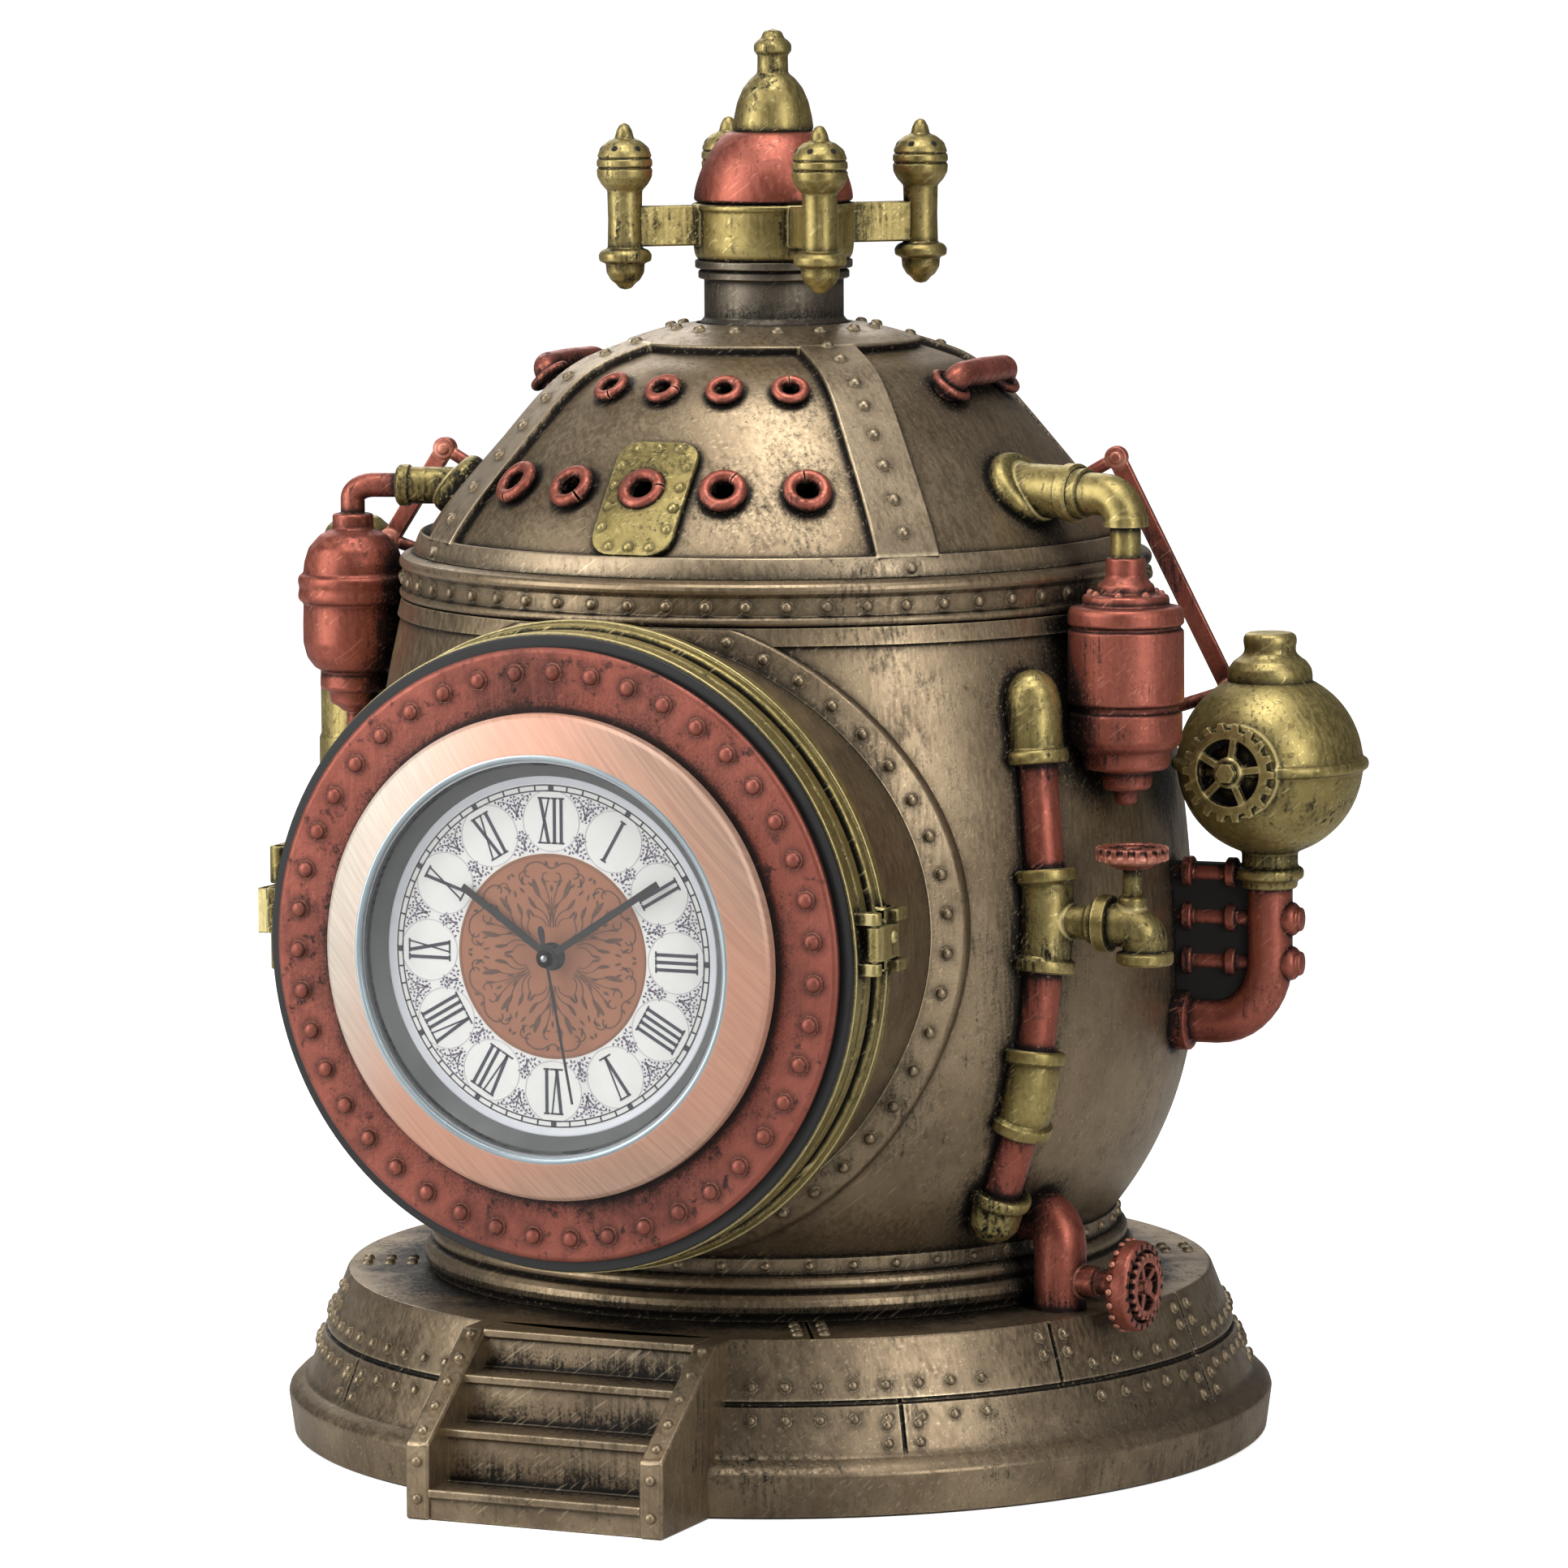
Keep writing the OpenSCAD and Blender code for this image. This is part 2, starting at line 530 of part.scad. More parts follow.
// The gear and its boss face a little less to the right than the globe's own side
module gear_frame() globe_frame() rotate([0, 0, -9]) rotate([90, 0, 0]) children();
module globe_solid() {
  globe_frame() {
    sphere(globe_r);
    translate([0, 0, -0.9]) cylinder(r = globe_r + 0.9, h = 1.8);
    translate([0, 0, -globe_r - 5]) cylinder(r = 4.3, h = 8);
    translate([0, 0, -globe_r - 3.4]) cylinder(r = 5.2, h = 1.6);
  }
  gear_frame() cylinder(r = 6.9, h = gear_f);
}
module globe() color("#a2924c") difference() {
  globe_solid();
  gear_frame() translate([0, 0, globe_r - 1.2]) cylinder(r = gear_in, h = 3);
}
module globe_cap() color("#a2924c") globe_frame() difference() {
  turned([[0, 9], [6.5, 9], [6.5, globe_r - 0.4], [5.9, globe_r + 1.4], [4.6, globe_r + 2.2],
    [3.9, globe_r + 2.6], [3.7, globe_r + 5.4], [3.3, globe_r + 5.8], [0, globe_r + 5.8]]);
  sphere(globe_r);
}
gear_f = globe_r + 0.2;
gear_t = 1.2;
gear_in = 5.1;
module globe_gear() color("#8f8044") gear_frame() translate([0, 0, gear_f]) {
  difference() {
    linear_extrude(gear_t) polygon(gear_line(18, 6.4, 7.6));
    translate([0, 0, -1]) cylinder(r = gear_in, h = gear_t + 2);
  }
  cylinder(r = 2.4, h = gear_t + 0.2);
  for (k = [0:4]) rotate([0, 0, k * 72 + 8]) translate([2, -0.55, 0])
    cube([gear_in - 1.7, 1.1, gear_t - 0.2]);
  translate([0, 0, gear_t + 0.2]) cylinder(r = 1.6, h = 1, $fn = 6);
}
pipe_turn = 11;
pipe_low = globe_z - 40;
module pipe_solid() at(globe_b) {
  rod([globe_at, 0, neck_low], [globe_at, 0, pipe_low + pipe_turn], 3.5);
  translate([globe_at - pipe_turn, 0, pipe_low + pipe_turn]) mirror([0, 0, 1]) bend(pipe_turn, 3.5);
  rod([globe_at - pipe_turn, 0, pipe_low], [body_r - 8, 0, pipe_low], 3.5);
  rod([body_r + 2.2, 0, pipe_low], [body_r - 8, 0, pipe_low], 4.7);
}
module globe_pipe() color("#9c5546") difference() {
  pipe_solid();
  body_solid();
}
spool_z = [neck_low + 2.1, neck_low - 4.7, neck_low - 11.5];
web_t = 2;
web_z1 = neck_low + 3.6;
module globe_bolts() color("#8f4e40") difference() {
  at(globe_b) {
    rotate([90, 0, 0]) translate([0, 0, -web_t / 2]) linear_extrude(web_t) polygon([[body_r - 8, pipe_low],
      [globe_at - pipe_turn, pipe_low], [globe_at, pipe_low + pipe_turn], [globe_at, web_z1],
      [body_r - 8, web_z1]]);
    for (k = [0:2]) translate([0, 0, spool_z[k]]) {
      rod([body_r - 8, 0, 0], [globe_at, 0, 0], 1.5);
      rod([body_r + 1, 0, 0], [body_r + 2.4, 0, 0], 2.4);
      rod([globe_at - 6.6, 0, 0], [globe_at - 5, 0, 0], 2.4);
      if (k > 0) {
        rod([globe_at, 0, 0], [globe_at + 4.4, 0, 0], 2.6);
        rod([globe_at + 4.4, 0, 0], [globe_at + 5.4, 0, 0], 1.9);
      }
    }
  }
  pipe_solid();
  globe_solid();
  body_solid();
}

// Drain elbow with its wheel at the foot

drain_z = foot_z + 4.4;
drain_at = foot_r + 8.5;
wheel_z = base_h + 4.5;
wheel_turn = 18;
wheel_off = 10.3;
module wheel_shaft() at(drain_b) translate([drain_at, 0, wheel_z]) rotate([0, 0, wheel_turn]) children();
drain_r = 4;
drain_turn = 4.6;
module drain_elbow() color("#8f4e40") difference() {
  union() {
    wheel_shaft() rod([0, 0, 0], [wheel_off, 0, 0], 1.8);
    at(drain_b) {
      rod([foot_r - 6, 0, drain_z], [drain_at - drain_turn, 0, drain_z], drain_r);
      translate([drain_at - drain_turn, 0, drain_z - drain_turn]) bend(drain_turn, drain_r);
      rod([drain_at, 0, drain_z - drain_turn], [drain_at, 0, base_h], drain_r);
    }
  }
  body_solid();
}
module drain_wheel() color("#9c5546") wheel_shaft() translate([wheel_off, 0, 0]) rotate([0, 90, 0]) {
  turned([[0, 0], [6, 0], [6.7, 0.8], [6.85, 3.4], [6.4, 3.8], [5.5, 3.8], [5.4, 2.6], [0, 2.6]]);
  translate([0, 0, 2.5]) difference() {
    linear_extrude(1.9) polygon(gear_line(18, 4.4, 5.05));
    translate([0, 0, 0.1]) cylinder(r = 3.65, h = 3);
  }
  translate([0, 0, 2.5]) cylinder(r = 1.2, h = 2.1);
  for (k = [0:4]) rotate([0, 0, k * 72 + 18]) translate([0.8, -0.35, 2.5]) cube([3.2, 0.7, 1.5]);
}

// Door

module door_ring() color("#9a8a48") facing() ring(door_ring_r, door_ring_r - 7, ring_f - door_ring_d, ring_f);
module door_edge() color("#1b1a19") facing() ring(edge_r, hole_r, ring_f, edge_f);
module door_plate() color("#9c5546") facing() ring(plate_r, hole_r, edge_f, door_front);
module insert_gasket() color("#222222") facing() ring(hole_r, cup_r, ring_f - 1, door_front);
module bezel() color("#c98f74") facing() turned([[cup_r, door_front], [bezel_r - 0.3, door_front],
  [bezel_r, door_front + 0.4], [bezel_r, door_front + 2.2], [bezel_r - 0.6, door_front + 2.8],
  [cup_r + 0.3, lip_f], [cup_r - 0.7, lip_f], [cup_r - 0.7, lens_f + lens_t], [cup_r, lens_f + lens_t]]);
module insert_cup() color("#8b8d8f") facing() turned([[module_r, cup_back], [cup_r, cup_back],
  [cup_r, lens_f + lens_t], [lens_r, lens_f + lens_t], [lens_r, cup_back + 1.2], [module_r, cup_back + 1.2]]);
module rehaut() color("#5f6568") facing() turned([[dial_r - 0.2, dial_f], [lens_r, dial_f], [lens_r, lens_f],
  [lens_r - 0.5, lens_f]]);
module lens() color("#dfe8ea", 0.3) facing() translate([0, 0, lens_f]) cylinder(r = lens_r, h = lens_t);
bush_r = 2.6;
module dial() color("#f2f1ec") facing() ring(lens_r, bush_r, dial_f - 0.6, dial_f);
module movement() color("#2a2b2d") facing() difference() {
  union() {
    translate([0, 0, dial_f - 4.6]) cylinder(r = lens_r, h = 4);
    translate([0, 0, cup_back + 0.6]) cylinder(r = module_r, h = dial_f - 4.6 - cup_back - 0.6);
    translate([0, 0, dial_f - 1]) cylinder(r = bush_r, h = 1);
  }
  translate([0, 0, dial_f - 9]) cylinder(r = hour_r + run, h = 12);
  translate([pocket_x, aux_y, cup_back - 1]) cylinder(r = cell_r + 0.9 + run, h = 3);
  translate([pocket_x, aux_y, cup_back]) cylinder(r = cell_r, h = 7.4);
  translate([knob_x, aux_y, cup_back]) cylinder(r = 1.6 + run, h = 6);
}
cell_r = 5.8;
module button_cell() color("#b9bbbd") facing()
  translate([pocket_x, aux_y, cup_back + 2]) cylinder(r = cell_r, h = 5.4);
module cell_cover() color("#2a2b2d") facing() translate([pocket_x, aux_y, cup_back + 0.3]) difference() {
  cylinder(r = cell_r + 0.9, h = 1.5);
  translate([-4, -0.6, -1]) cube([8, 1.2, 1.6]);
}
module set_knob() color("#3a3b3d") facing() translate([knob_x, aux_y, cup_back + 0.4]) {
  translate([0, 0, -2.4]) cylinder(r = 4.6, h = 2.2);
  translate([0, 0, -0.4]) cylinder(r = 1.6, h = 5.4);
}

// Hands

hour_r = 2;
minute_r = 1.2;
second_r = 0.5;
hour_f = dial_f + 0.7;
minute_f = hour_f + 0.7;
second_f = minute_f + 0.7;
module blade(len, w, f, t) translate([-w / 2, 0, f]) cube([w, len, t]);
module hour_hand() color("#141414") facing() rotate([0, 0, -shown_time / 2]) difference() {
  union() {
    blade(dial_r - 9.4, 1.2, hour_f, 0.4);
    translate([0, 0, hour_f]) cylinder(r = 2.4, h = 0.4);
    translate([0, 0, dial_f - 8]) cylinder(r = hour_r, h = hour_f - dial_f + 8.2);
  }
  translate([0, 0, dial_f - 10]) cylinder(r = minute_r + run, h = 20);
}
module minute_hand() color("#141414") facing() rotate([0, 0, -shown_time * 6]) difference() {
  union() {
    blade(dial_r - 5.3, 1.1, minute_f, 0.4);
    translate([0, 0, minute_f]) cylinder(r = 1.9, h = 0.4);
    translate([0, 0, dial_f - 8]) cylinder(r = minute_r, h = minute_f - dial_f + 8.2);
  }
  translate([0, 0, dial_f - 10]) cylinder(r = second_r + run, h = 20);
}
module second_hand() color("#141414") facing() rotate([0, 0, -shown_time * 360]) union() {
  translate([-0.3, -4.8, second_f]) cube([0.6, dial_r + 0.2, 0.3]);
  translate([0, 0, second_f]) cylinder(r = 1.2, h = 0.3);
  translate([0, 0, dial_f - 8]) cylinder(r = second_r, h = second_f - dial_f + 8.2);
}

// Door hinge, axis upright at the left of the parting line

leaf_h = 18.6;
knuckle_h = 5.6;
leaf_t = 2.1;
leaf_reach = 4.4;
module hinge_frame() translate([hinge_x, -hinge_f, catch_z]) children();
module hinge_leaf_body() color("#a2924c") difference() {
  hinge_frame() difference() {
    union() {
      for (s = [-1, 1]) translate([0, 0, s * (leaf_h - knuckle_h) / 2 - knuckle_h / 2]) {
        cylinder(r = hinge_r, h = knuckle_h);
        translate([-hinge_r, 0, 0]) cube([hinge_r + leaf_reach, 4.6, knuckle_h]);
      }
      translate([1, hinge_r + pass, -leaf_h / 2]) cube([leaf_reach - 1, leaf_t, leaf_h]);
    }
    translate([0, 0, -leaf_h]) cylinder(r = pin_r, h = 2 * leaf_h);
  }
  frame_cut(rear_r);
}
module hinge_pin() color("#8c8440") hinge_frame() translate([0, 0, -leaf_h / 2])
  cylinder(r = pin_r, h = leaf_h);
mid_h = leaf_h - 2 * knuckle_h - 2 * pass;
module hinge_leaf_door() color("#a2924c") difference() {
  hinge_frame() difference() {
    union() {
      translate([0, 0, -mid_h / 2]) cylinder(r = hinge_r, h = mid_h);
      translate([-hinge_r, -leaf_reach, -mid_h / 2]) cube([hinge_r, leaf_reach, mid_h]);
      translate([-hinge_r, -leaf_reach, -mid_h / 2]) cube([hinge_r + 5, leaf_t, mid_h]);
    }
    translate([0, 0, -leaf_h]) cylinder(r = pin_r + run, h = 2 * leaf_h);
  }
  frame_cut(door_ring_r);
}

// Latch, a leaf that swings off the keeper about an upright pin on the door's right edge

lug_h = 1.8;
latch_h = 5;
latch_len = 6.6;
latch_pin_r = 0.5;
cheek_t = 1.8;
keeper_in = 6;
module latch_axis() translate([latch_x, -latch_f, catch_z]) children();
module latch_hinge() color("#a2924c") {
  for (s = [-1, 1]) difference() {
    latch_axis() translate([0, 0, s * (latch_h / 2 + pass + lug_h / 2) - lug_h / 2]) {
      cylinder(r = latch_r, h = lug_h);
      translate([-6, -latch_r, 0]) cube([6, 2 * latch_r, lug_h]);
    }
    frame_cut(door_ring_r);
  }
  latch_axis() translate([0, 0, -latch_h / 2 - pass - lug_h / 2])
    cylinder(r = latch_pin_r, h = latch_h + 2 * pass + lug_h);
}
module latch_leaf() color("#a2924c") latch_axis() translate([0, 0, -latch_h / 2]) difference() {
  union() {
    cylinder(r = latch_r, h = latch_h);
    cube([latch_r, latch_len, latch_h]);
  }
  translate([0, 0, -1]) cylinder(r = latch_pin_r + run, h = latch_h + 2);
}
module latch_keeper() color("#a2924c") difference() {
  translate([rear_r - keeper_in, -rear_f + 0.4, catch_z - latch_h / 2 - pass - cheek_t]) difference() {
    cube([keeper_in + latch_off + latch_r + 0.5, 3.6, latch_h + 2 * pass + 2 * cheek_t]);
    translate([keeper_in + latch_off - pass, -1, cheek_t]) cube([10, 6, latch_h + 2 * pass]);
  }
  frame_cut(rear_r);
}

base_plinth();
base_pad();
stair_treads();
stair_stringers();
foot_moulding();
body_shell();
rim_band();
drum();
drum_flange();
rear_ring();
dome();
dome_frame();
port_rings();
hatch_plate();
dome_handles();
neck_collar();
hub();
posts();
copper_bell();
brass_bell();
outlets();
elbow_right();
elbow_left();
canister_right();
canister_left();
left_tank();
stays();
riser_tubes();
riser_fittings();
tap();
tap_wheel();
globe();
globe_cap();
globe_gear();
globe_pipe();
globe_bolts();
drain_elbow();
drain_wheel();
hinge_leaf_body();
hinge_pin();
latch_keeper();
door_ring();
door_edge();
door_plate();
insert_gasket();
bezel();
insert_cup();
rehaut();
lens();
dial();
movement();
button_cell();
cell_cover();
set_knob();
hour_hand();
minute_hand();
second_hand();
hinge_leaf_door();
latch_hinge();
latch_leaf();
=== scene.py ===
"""Looks of the trinket box clock: a riveted boiler with a clock in its door, on a round base with stairs.

Sizes are millimetres in the part's own frame and become metres when a mesh is made. A bearing is an angle
from the front, toward the right. Every piece is a numpy surface that rides on one body of the frame.
"""
import math

import bmesh
import bpy
import numpy as np
from mathutils import Matrix, Vector


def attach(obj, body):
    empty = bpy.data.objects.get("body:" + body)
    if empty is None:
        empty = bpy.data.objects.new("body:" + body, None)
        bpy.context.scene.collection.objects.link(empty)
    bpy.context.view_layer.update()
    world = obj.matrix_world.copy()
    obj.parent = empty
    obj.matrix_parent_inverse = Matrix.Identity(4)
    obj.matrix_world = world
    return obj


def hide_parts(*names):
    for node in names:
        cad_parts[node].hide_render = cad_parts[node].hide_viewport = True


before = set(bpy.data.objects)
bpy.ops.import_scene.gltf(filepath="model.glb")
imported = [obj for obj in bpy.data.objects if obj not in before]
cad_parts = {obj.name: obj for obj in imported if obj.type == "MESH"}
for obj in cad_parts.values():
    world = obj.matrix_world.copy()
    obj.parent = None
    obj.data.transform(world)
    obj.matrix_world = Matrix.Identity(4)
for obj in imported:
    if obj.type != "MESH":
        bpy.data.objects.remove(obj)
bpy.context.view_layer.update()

MM = 0.001
FULL = 2.0 * math.pi

# Driving sizes, as in the part's source

BASE_H = 25.5
FOOT_Z = 35.0
FOOT_R = 52.5
BODY_R = 65.0
TOP_R = 57.5
WALL = 4.5
DOOR_Z = 84.0
WIDE_Z = 70.0
BODY_TOP = 130.5
DOME_Z = 137.5
DOME_H = 35.2
DRUM_R = 45.7
BORE_R = 41.7
DRUM_END = 68.2
FLANGE_R = 49.7
STRIP_RIVET_R = 47.6
HOLE_R = 31.4
RING_F = 79.0
EDGE_F = 80.0
DOOR_FRONT = 81.6
DIAL_F = 81.7
HATCH_W = 13.5
HATCH_H = 20.8
HATCH_CORNER = 3.6
HATCH_Z = 11.69
RIB_W = 10.1
PANEL_D = 1.2
LOW_Z = 12.71
HIGH_Z = 27.1
LOW_BEARINGS = (-31.3, -16.1, -0.8, 14.5, 29.7)
HIGH_BEARINGS = (-22.5, -5.7, 11.1, 27.9)
LARGE_PORT = 3.75
SMALL_PORT = 2.95
HANDLE_Z = DOME_H * 0.775
CROWN_R = 22.8
BAND_H = 3.3
NECK_Z = DOME_Z + DOME_H
COLLAR_Z = NECK_Z + 6.6
HUB_Z = COLLAR_Z + 3.0
BELL_Z = HUB_Z + 8.8
TIP_Z = BELL_Z + 11.1
POST_AT = 23.9
POST_BEARINGS = (41.0, 131.0, 221.0, 311.0)
RISER_B = 61.97
CAN_B = 74.97
CAN_AT = 67.5
CAN_TOP = 139.3
LEFT_AT = 66.9
LEFT_TOP = 142.3
PIPE_Z = 148.69
LEFT_Z = 146.89
OUTLET_Z = DOME_H * 0.335
GLOBE_B = 94.97
GLOBE_AT = 79.5
GLOBE_Z = 106.4
GLOBE_R = 14.2
TANK_B = 88.47
TANK_AT = 71.5
DRAIN_B = 67.97
DRAIN_AT = 61.0
DRAIN_Z = 39.4
WHEEL_Z = 30.0
CATCH_Z = 87.6
HINGE_X = -50.2
HINGE_F = 71.2
LATCH_X = 49.4
LATCH_F = 77.0
SHOWN_MINUTES = 609.47

# Rivet heads: radius and height

BASE_RIVET = (0.85, 0.8)
STAIR_RIVET = (0.85, 0.75)
FOOT_RIVET = (0.8, 0.7)
STRIP_RIVET = (0.95, 0.85)
DOME_RIVET = (0.95, 0.8)
HATCH_RIVET = (0.75, 0.6)
DOOR_RIVET = (1.3, 1.1)


# Shapes


class Shape:
    """Points with quads between them, and caps with any number of corners."""

    def __init__(self, points, quads=None, caps=()):
        self.points = np.asarray(points, float).reshape(-1, 3)
        self.quads = np.zeros((0, 4), int) if quads is None else np.asarray(quads, int).reshape(-1, 4)
        self.caps = [np.asarray(cap, int) for cap in caps]

    def __add__(self, other):
        """The points and faces of both."""
        shift = len(self.points)
        return Shape(
            np.vstack([self.points, other.points]),
            np.vstack([self.quads, other.quads + shift]),
            self.caps + [cap + shift for cap in other.caps],
        )

    def at(self, place):
        """The shape carried into a place, which is its three axes as rows and its origin."""
        axes, origin = place
        return Shape(self.points @ axes + origin, self.quads, self.caps)


def joined(shapes):
    """One shape of several."""
    shapes = list(shapes)
    whole = shapes[0]
    for shape in shapes[1:]:
        whole = whole + shape
    return whole


def grid(points, wrap_rows=False, wrap_cols=False):
    """Quads between the neighbours of a grid of points; wrap joins the last row or column to the first."""
    rows, cols = points.shape[:2]
    index = np.arange(rows * cols).reshape(rows, cols)
    if wrap_rows:
        index = np.vstack([index, index[:1]])
    if wrap_cols:
        index = np.hstack([index, index[:, :1]])
    quads = np.stack([index[:-1, :-1], index[:-1, 1:], index[1:, 1:], index[1:, :-1]], axis=-1)
    return Shape(points, quads)


def unit(vectors):
    """Vectors at length one."""
    vectors = np.asarray(vectors, float)
    return vectors / np.linalg.norm(vectors, axis=-1, keepdims=True)


X_AXIS = (1.0, 0.0, 0.0)
Y_AXIS = (0.0, 1.0, 0.0)
Z_AXIS = (0.0, 0.0, 1.0)
FORWARD = (0.0, -1.0, 0.0)
ORIGIN = (0.0, 0.0, 0.0)
NEARLY_UPRIGHT = 0.9


def place(origin, z_axis, x_hint=Z_AXIS):
    """A place whose z points along z_axis and whose x lies as near x_hint as it can."""
    z_axis = unit(z_axis)
    y_axis = unit(np.cross(z_axis, x_hint))
    return np.stack([np.cross(y_axis, z_axis), y_axis, z_axis]), np.asarray(origin, float)


def moved(x, y, z):
    """A place that is only shifted."""
    return np.eye(3), np.array([x, y, z], float)


def out_at(bearing, reach, height):
    """Points at a bearing in degrees, a distance from the upright axis and a height."""
    turn = np.radians(bearing)
    return np.stack(np.broadcast_arrays(reach * np.sin(turn), -reach * np.cos(turn), height), axis=-1)


def bearing_place(bearing):
    """A place on the upright axis whose x points out at a bearing."""
    return place(ORIGIN, Z_AXIS, out_at(bearing, 1.0, 0.0))


FACE = (np.array([X_AXIS, Z_AXIS, FORWARD]), np.array([0.0, 0.0, DOOR_Z]))
ROUND_HANDLE = 0.5523
LONGEST_SHARE = 0.46


def soften(line, radius, steps=3, closed=False):
    """Rounds each corner of a line with a cubic curve that starts and ends a radius from the corner."""
    line = np.asarray(line, float)
    if closed:
        before, corner, after = np.roll(line, 1, axis=0), line, np.roll(line, -1, axis=0)
    else:
        before, corner, after = line[:-2], line[1:-1], line[2:]
    back, fore = before - corner, after - corner
    back_len = np.linalg.norm(back, axis=1, keepdims=True)
    fore_len = np.linalg.norm(fore, axis=1, keepdims=True)
    start = corner + back / back_len * np.minimum(radius, LONGEST_SHARE * back_len)
    end = corner + fore / fore_len * np.minimum(radius, LONGEST_SHARE * fore_len)
    t = np.linspace(0.0, 1.0, steps + 1)[None, :, None]
    near = start + (corner - start) * ROUND_HANDLE
    far = end + (corner - end) * ROUND_HANDLE
    rounded = ((1 - t) ** 3 * start[:, None] + 3 * t * (1 - t) ** 2 * near[:, None]
               + 3 * t**2 * (1 - t) * far[:, None] + t**3 * end[:, None])
    rounded = rounded.reshape(-1, line.shape[1])
    return rounded if closed else np.vstack([line[:1], rounded, line[-1:]])


def lathe(line, soft=0.25, turns=96, closed=False, steps=3):
    """Turns a profile of (distance from the axis, height) once round z, with its corners rounded."""
    line = soften(line, soft, steps, closed)
    bearings = np.linspace(0.0, 360.0, turns, endpoint=False)
    return grid(out_at(bearings, line[:, :1], line[:, 1:]), wrap_rows=closed, wrap_cols=True)


def ring(outer, inner, low, high, soft=0.3, turns=128):
    """A flat ring: its rectangular section turned round z."""
    return lathe([[inner, low], [outer, low], [outer, high], [inner, high]], soft, turns, closed=True)


BEND_STEPS = 10
NUDGE = 1.0e-9
SAME_SPOT = 1.0e-6
LOOK = 0.05


def pipe(corners, bend, sections, normal=Y_AXIS, sides=28):
    """A round pipe along straight runs with round bends in one plane, square to normal.

    sections are pairs of a distance along it and a radius; a negative distance counts from its end.
    """
    line = soften(corners, bend, BEND_STEPS)
    run = np.concatenate([[0.0], np.cumsum(np.linalg.norm(np.diff(line, axis=0), axis=1))])

    def spots(distance):
        """Points a distance along the line."""
        return np.stack([np.interp(distance, run, line[:, axis]) for axis in range(3)], axis=-1)

    sections = np.asarray(sections, float)
    from_start = np.minimum(sections[:, 0], run[-1])
    from_end = run[-1] + sections[:, 0] + NUDGE
    marks = np.where(sections[:, 0] < 0, from_end, from_start)
    stops = np.union1d(run, marks)
    stops = stops[np.concatenate([[True], np.diff(stops) > SAME_SPOT])]
    radius = np.interp(stops, marks, sections[:, 1])
    normal = unit(normal)
    side = np.cross(unit(spots(stops + LOOK) - spots(stops - LOOK)), normal)
    middle = spots(np.concatenate([stops[:1], stops, stops[-1:]]))
    side = np.vstack([side[:1], side, side[-1:]])
    radius = np.concatenate([[0.0], radius, [0.0]])[:, None, None]
    turn = np.linspace(0.0, FULL, sides, endpoint=False)[None, :, None]
    points = middle[:, None] + radius * (np.cos(turn) * side[:, None] + np.sin(turn) * normal)
    return grid(points, wrap_cols=True)


def rod(start, end, radius, soft=0.2, sides=24):
    """A straight round rod with rounded ends, as a turned profile laid between two points."""
    start, end = np.asarray(start, float), np.asarray(end, float)
    length = np.linalg.norm(end - start)
    hint = X_AXIS if abs(end[2] - start[2]) > NEARLY_UPRIGHT * length else Z_AXIS
    profile = [[0.0, 0.0], [radius, 0.0], [radius, length], [0.0, length]]
    return lathe(profile, soft, sides).at(place(start, end - start, hint))


def prism(outline, low, high):
    """A flat outline carried from one height to another, with a cap at each end."""
    outline = np.asarray(outline, float)
    count = len(outline)
    heights = np.array([low, high], float)
    points = np.concatenate([np.broadcast_to(outline[None], (2, count, 2)),
                             np.broadcast_to(heights[:, None, None], (2, count, 1))], axis=-1)
    shape = grid(points, wrap_cols=True)
    shape.caps = [np.arange(count)[::-1], np.arange(count) + count]
    return shape


def block(low, high):
    """A box between two corners, as a prism of its floor."""
    outline = [[low[0], low[1]], [high[0], low[1]], [high[0], high[1]], [low[0], high[1]]]
    return prism(outline, low[2], high[2])


def circle(radius, count, phase=0.0):
    """Points of a circle in the flat."""
    turn = np.linspace(0.0, FULL, count, endpoint=False) + phase
    return radius * np.stack([np.cos(turn), np.sin(turn)], axis=-1)


def band(outer, inner, low, high, edge=0.12):
    """A solid between two outlines with the same number of points, its four edges rounded a little."""
    across = unit(outer - inner)
    loops = [(inner, low + edge), (inner + across * edge, low), (outer - across * edge, low),
             (outer, low + edge), (outer, high - edge), (outer - across * edge, high),
             (inner + across * edge, high), (inner, high - edge)]
    points = np.stack([np.concatenate([flat, np.full((len(flat), 1), height)], axis=1)
                       for flat, height in loops])
    return grid(points, wrap_rows=True, wrap_cols=True)


TOOTH_SHARES = np.array([-0.46, -0.30, -0.17, 0.17, 0.30, 0.46])


def gear_ring(count, root, tip, inner, low, high):
    """A toothed ring: its radius steps between root and tip once for each tooth, and its bore is round."""
    reach = np.array([root, root, tip, tip, root, root])
    turn = (np.arange(count)[:, None] + TOOTH_SHARES) * FULL / count
    reach = np.broadcast_to(reach, turn.shape)
    outline = np.stack([reach * np.cos(turn), reach * np.sin(turn)], axis=-1).reshape(-1, 2)
    return band(outline, circle(inner, len(outline), TOOTH_SHARES[0] * FULL / count), low, high)


def stroke(line, width, low, high):
    """A flat pen stroke: a line in the flat, widened to both sides by half its width, between two heights."""
    line = np.asarray(line, float)
    way = unit(np.gradient(line, axis=0))
    half = np.broadcast_to(width, len(line))[:, None] / 2.0
    aside = np.stack([-way[:, 1], way[:, 0]], axis=-1) * half
    left, right = line + aside, line - aside
    rows = [np.concatenate([flat, np.full((len(line), 1), height)], axis=1)
            for flat, height in ((left, low), (right, low), (right, high), (left, high))]
    shape = grid(np.stack(rows, axis=1), wrap_cols=True)
    last = 4 * (len(line) - 1)
    shape.caps = [np.array([0, 1, 2, 3]), np.array([last + 3, last + 2, last + 1, last])]
    return shape


